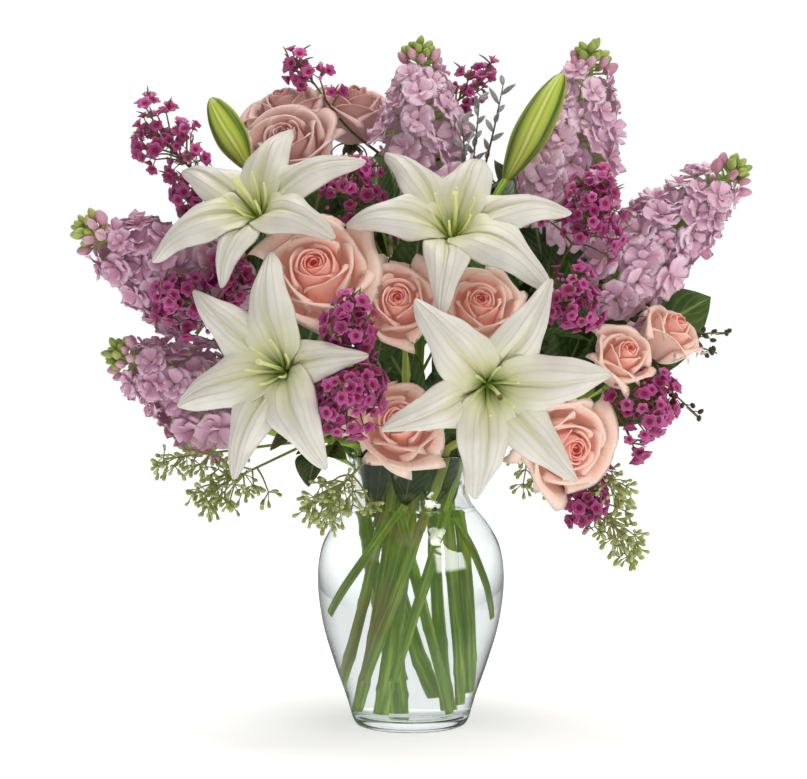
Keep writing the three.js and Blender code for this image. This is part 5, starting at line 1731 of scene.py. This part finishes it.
def waxflower(cup):
    """Fifteen columns round, three to a petal. Rings: the heart, the dish, the petals' rim, the back."""
    turn = np.arange(15) * TAU / 15
    petal = np.where(np.arange(15) % 3 == 0, 0.76, 1.0)
    rings = [(1.7, 0.1), (3.4, 0.25 * cup), (6.2 * petal, cup), (3.2, -0.9), (1.4, -3.0)]
    round_it = [turned(out, turn, height) for out, height in rings]
    points = np.concatenate([[(0, 0, -0.2)], *round_it, [(0, 0, -3.3)]])
    first, last = 1 + np.arange(15), 61 + np.arange(15)
    faces = [face[::-1] for face in grid_faces(5, 15, 1, closed=True).tolist()]
    faces += [[0, a, b] for a, b in zip(first, np.roll(first, -1))]
    faces += [[len(points) - 1, b, a] for a, b in zip(last, np.roll(last, -1))]
    along = np.repeat([0, 0.22, 0.36, 0.6, 0.4, 0.3, 0.3], [1, 15, 15, 15, 15, 15, 1])
    return points, faces, np.stack([along, 0 * along, 0 * along], -1)


def small_bud(radius, length):
    return turned_body([(0, -0.4 * length), (0.7 * radius, -0.25 * length), (radius, 0.05 * length),
                        (0.7 * radius, 0.4 * length), (0, 0.6 * length)], 6)


print("a waxflower has", len(waxflower(1.5)[1]), "faces")

# %% [markdown]
# Four shapes are enough for hundreds of blossoms, as each is turned and sized by chance: a flower that
# is nearly closed, one half open, one wide open, and a bud. Between them stand thin needle leaves.

# %% Waxflowers
DENSE = ("waxflower_centre", "waxflower_low_right", "waxflower_mid_left", "waxflower_right")
WAX_SHAPES = [waxflower(0.6), waxflower(1.6), waxflower(2.6), small_bud(1.9, 4.4)]


def blossom_places(ends, draw):
    """A flower or now and then a bud at each end, turned outwards and a little to the viewer."""
    places = []
    for at, way, middle in ends:
        bud = draw.rand() < 0.16
        out = unit(way) + unit(at - vec(middle)) * 0.8 + (0, -0.35, 0.1)
        places.append((at, out, draw.uniform(0, TAU), draw.uniform(0.6, 0.92), 3 if bud else draw.randint(3),
                       draw.rand()))
    return places


def needle_leaves(twigs, draw):
    """Two needle-like leaves on each twig that is given, as lines to sweep."""
    needles = []
    for twig, _, _ in twigs:
        root, out = twig[len(twig) // 2], unit(twig[-1] - twig[0])
        for _ in range(2):
            tip = root + unit(draw.normal(size=3) + 1.5 * out + (0, 0, 0.5)) * draw.uniform(7, 13)
            if clear_of_blooms(tip, 1):
                needle = smooth_line([root, mixed(root, tip, 0.5) + (0, 0, 1), tip], 2)
                needles.append((needle, (0.35, 0.6, 0.6, 0.5, 0.1), draw.rand()))
    return needles


wax_shapes = shape_set("waxflower_shape", WAX_SHAPES)
for seed, (name, (_, clumps)) in enumerate(WAXFLOWERS.items()):
    draw = np.random.RandomState(seed)
    ends, lines = spray(name, clumps, seed, twigs=1.3 if name in DENSE else 0.7, bunch=4,
                        stalk_length=6.2, room=3.2)
    finished(scattered(name + "_blossom", blossom_places(ends, draw), wax_shapes, WAX), "waxflower", name)
    lines += needle_leaves(lines[4::4], draw)
    finished(swept(name + "_twigs", lines, TWIG, 5), "green_stem", name)
cleared(wax_shapes)

# %% [markdown]
# Two kinds of twig carry no open flower: a silvery one with narrow leaves, between the top stock and the
# lily bud, and dark ones with closed buds at the right edge.

# %% Silvery twig and dark buds
SILVER = leaf_finish("silver_leaf", "#5d6663", "#a9b0ae", "#c9cecb")
DARK_BUD = leaf_finish("dark_bud", "#2c3524", "#4c4a35", "#5d6a45")
SILVER_TWIGS = [((40, -8, 372), (46, -12, 424)), ((48, -10, 372), (62, -10, 434)),
                ((36, -14, 366), (34, -22, 408))]
DARK_TWIGS = [((180, -14, 262), (212, -22, 268)), ((182, -16, 258), (206, -20, 254)),
              ((156, -42, 240), (192, -32, 212))]
draw = np.random.RandomState(3)
leaves, buds, silver_rods, dark_rods = [], [], [], []
for root, tip in (map(vec, ends) for ends in SILVER_TWIGS):
    silver_rods.append(twig_line(root, mixed(root, tip, 0.5) + (1, 0, 2), tip, 0.9, 0.4, 0.8))
    for k in range(9):
        at = mixed(root, tip, 0.2 + 0.8 * k / 8)
        way = unit(stand(turned(1, k * GOLDEN, 1.0), (0, 0, 0), tip - root))
        end = at + way * draw.uniform(9, 14)
        leaves.append(blade_leaf(at, end, 3.4, 0.6, draw.rand(), 6, 5, face=(0, -1, 0.3)))
for root, tip in (map(vec, ends) for ends in DARK_TWIGS):
    dark_rods.append(twig_line(root, mixed(root, tip, 0.5) + (0, 0, 2), tip, 0.8, 0.5, 0.9))
    for k in range(7):
        at = mixed(root, tip, 0.42 + 0.1 * k) + draw.uniform(-4, 4, 3)
        buds.append(moved(small_bud(1.8, 5), at, draw.normal(size=3) + (0, 0, 1)))
        dark_rods.append((np.array([mixed(root, tip, 0.32 + 0.09 * k), at]), 0.35, 0.9))
finished(piece("silvery_leaves", joined(leaves), SILVER), "leaf", "waxflower_top")
finished(swept("silvery_twigs", silver_rods, TWIG, 5), "green_stem", "waxflower_top")
finished(piece("dark_bud_tips", joined(buds), DARK_BUD), "leaf", "greenery_right")
finished(swept("dark_bud_twigs", dark_rods, TWIG, 5), "green_stem", "greenery_right")

# %% [markdown]
# Eucalyptus seeds are small pale pods, each like a spinning top, in threes and fives on stalks that hang.

# %% Seeded eucalyptus
SEED, tree, sockets, grain = new_finish("eucalyptus_seed", 0.5, Subsurface_Weight=0.04)
along, _, _ = split(tree, grain)
patches = mottle_on(tree, 150.0)
coloured(tree, sockets, blend(tree, "#94a052", (attribute(tree, "tone"), "#cdd296"),
                              (rise(tree, along, 0.7, 1.0, 0.0, 0.7), "#dfe2b4"),
                              (times(tree, patches, 0.35), "#7c8c45")))
put(tree, sockets["Roughness"], rise(tree, patches, 0.0, 1.0, 0.42, 0.62))

SEED_POD = turned_body([(0, -5.2), (0.7, -4.6), (1.5, -1.6), (2.0, 0.6), (1.7, 2.2), (0.8, 2.6), (0, 3.6)], 7)
pods = shape_set("seed_pod", [SEED_POD])
for seed, (name, (_, clumps)) in enumerate(SEEDED.items()):
    draw = np.random.RandomState(seed + 40)
    ends, lines = spray(name, clumps, seed + 40, twigs=0.95, bunch=6, stalk_length=7, room=2.3, droop=0.5)
    places = [(at, way, 0.0, draw.uniform(0.55, 0.85), 0, draw.rand()) for at, way, _ in ends]
    finished(scattered(name + "_pods", places, pods, SEED), "seeded_eucalyptus", name)
    finished(swept(name + "_twigs", lines, SEED_TWIG, 5), "green_stem", name)
cleared(pods)

# %% [markdown]
# ## Leaves
#
# Four leafy stems carry the leaves that show at the edge.

# %% Leaves at the edge
def leaves_of(name):
    """Leaves at the ends of a leafy stem's stalks, with two smaller ones on each stalk."""
    root, tips = GREENS[name]
    draw = own_draw(name)
    made = []
    for tip in tips:
        joint = leaf_joint(root, tip)
        reach = vec(tip) - joint
        face = (0.2, -1, 0.4) if name == "greenery_right" else None
        whole = np.linalg.norm(reach)
        made.append(blade_leaf(joint - 0.06 * reach, tip, 0.56 * whole, 5, draw.rand(), 18, 11, wave=0.8,
                               point=0.9 if face is None else 1.15, face=face))
        for side in (-1, 1):
            across = unit(np.cross(reach, (0, 0, 1))) * side
            way = unit(unit(reach) + 0.9 * across + (0, 0, draw.uniform(-0.2, 0.5)))
            length = draw.uniform(0.5, 0.68) * whole
            start, end = joint + 0.05 * reach, joint + way * length
            made.append(blade_leaf(start, end, 0.45 * length, 4, draw.rand(), wave=0.6))
    return made


print("leaves at the edge:", sum(len(leaves_of(name)) for name in GREENS))

# %% [markdown]
# Deeper in, leaves fill the gaps between the blooms, as a florist uses them: without them, daylight
# would show through the bouquet.

# %% Leaves between the blooms
FOLIAGE_MIDDLE, FOLIAGE_HALF = vec((0, 8, 286)), vec((120, 62, 92))


def foliage(count, seed):
    """Leaves that lie like tiles on an egg-shaped surface just behind the blooms, and their stalks."""
    draw = np.random.RandomState(seed)
    made, lines = [], []
    for k in range(count):
        level = 1 - 2 * mixed(0.04, 0.96, (k + 0.5) / count)
        out = turned(math.sqrt(1 - level**2), k * GOLDEN + seed, level)
        at, face = FOLIAGE_MIDDLE + out * FOLIAGE_HALF, unit(out / FOLIAGE_HALF + draw.normal(size=3) * 0.003)
        along = unit(np.cross(np.cross(face, (0.25 * draw.normal(), 0.25 * draw.normal(), 1.0)), face))
        size = draw.uniform(52, 70)
        root, tip = at - 0.5 * size * along - 4 * face, at + 0.5 * size * along + 5 * face
        width = size * draw.uniform(0.5, 0.62)
        made.append(blade_leaf(root, tip, width, 3, draw.rand(), wave=0.8, face=face))
        inner = root * (0.3, 0.3, 1) - (0, 0, 34)
        lines.append(twig_line(inner, mixed(inner, root, 0.6) - (0, 0, 3), root + 3 * along, 1.2, 0.7, 0.5))
    return made, lines


def collar(count):
    """Leaves stripped too low: they stand in the vase's neck, between the stems and the glass."""
    draw = np.random.RandomState(5)
    made = []
    for k in range(count):
        turn = (k + 0.5) * TAU / count + draw.uniform(-0.1, 0.1)
        root, tip = turned(29, turn, 152.0), turned(37, turn + 0.3, 214 + draw.uniform(-6, 6))
        made.append(blade_leaf(root, tip, 25, -3, draw.rand(), wave=0.5, face=turned(1.0, turn, 0.1)))
    return made


for k, name in enumerate(GREENS):
    inner, stalks = foliage(28, k)
    ring = collar(9) if name == "greenery_left" else []
    finished(piece(name + "_leaves", joined(leaves_of(name) + inner + ring), LEAF), "leaf", name)
    finished(swept(name + "_rods", course_lines(name, 45, 0.6) + stalks, STEM_GREEN, 8), "green_stem", name)
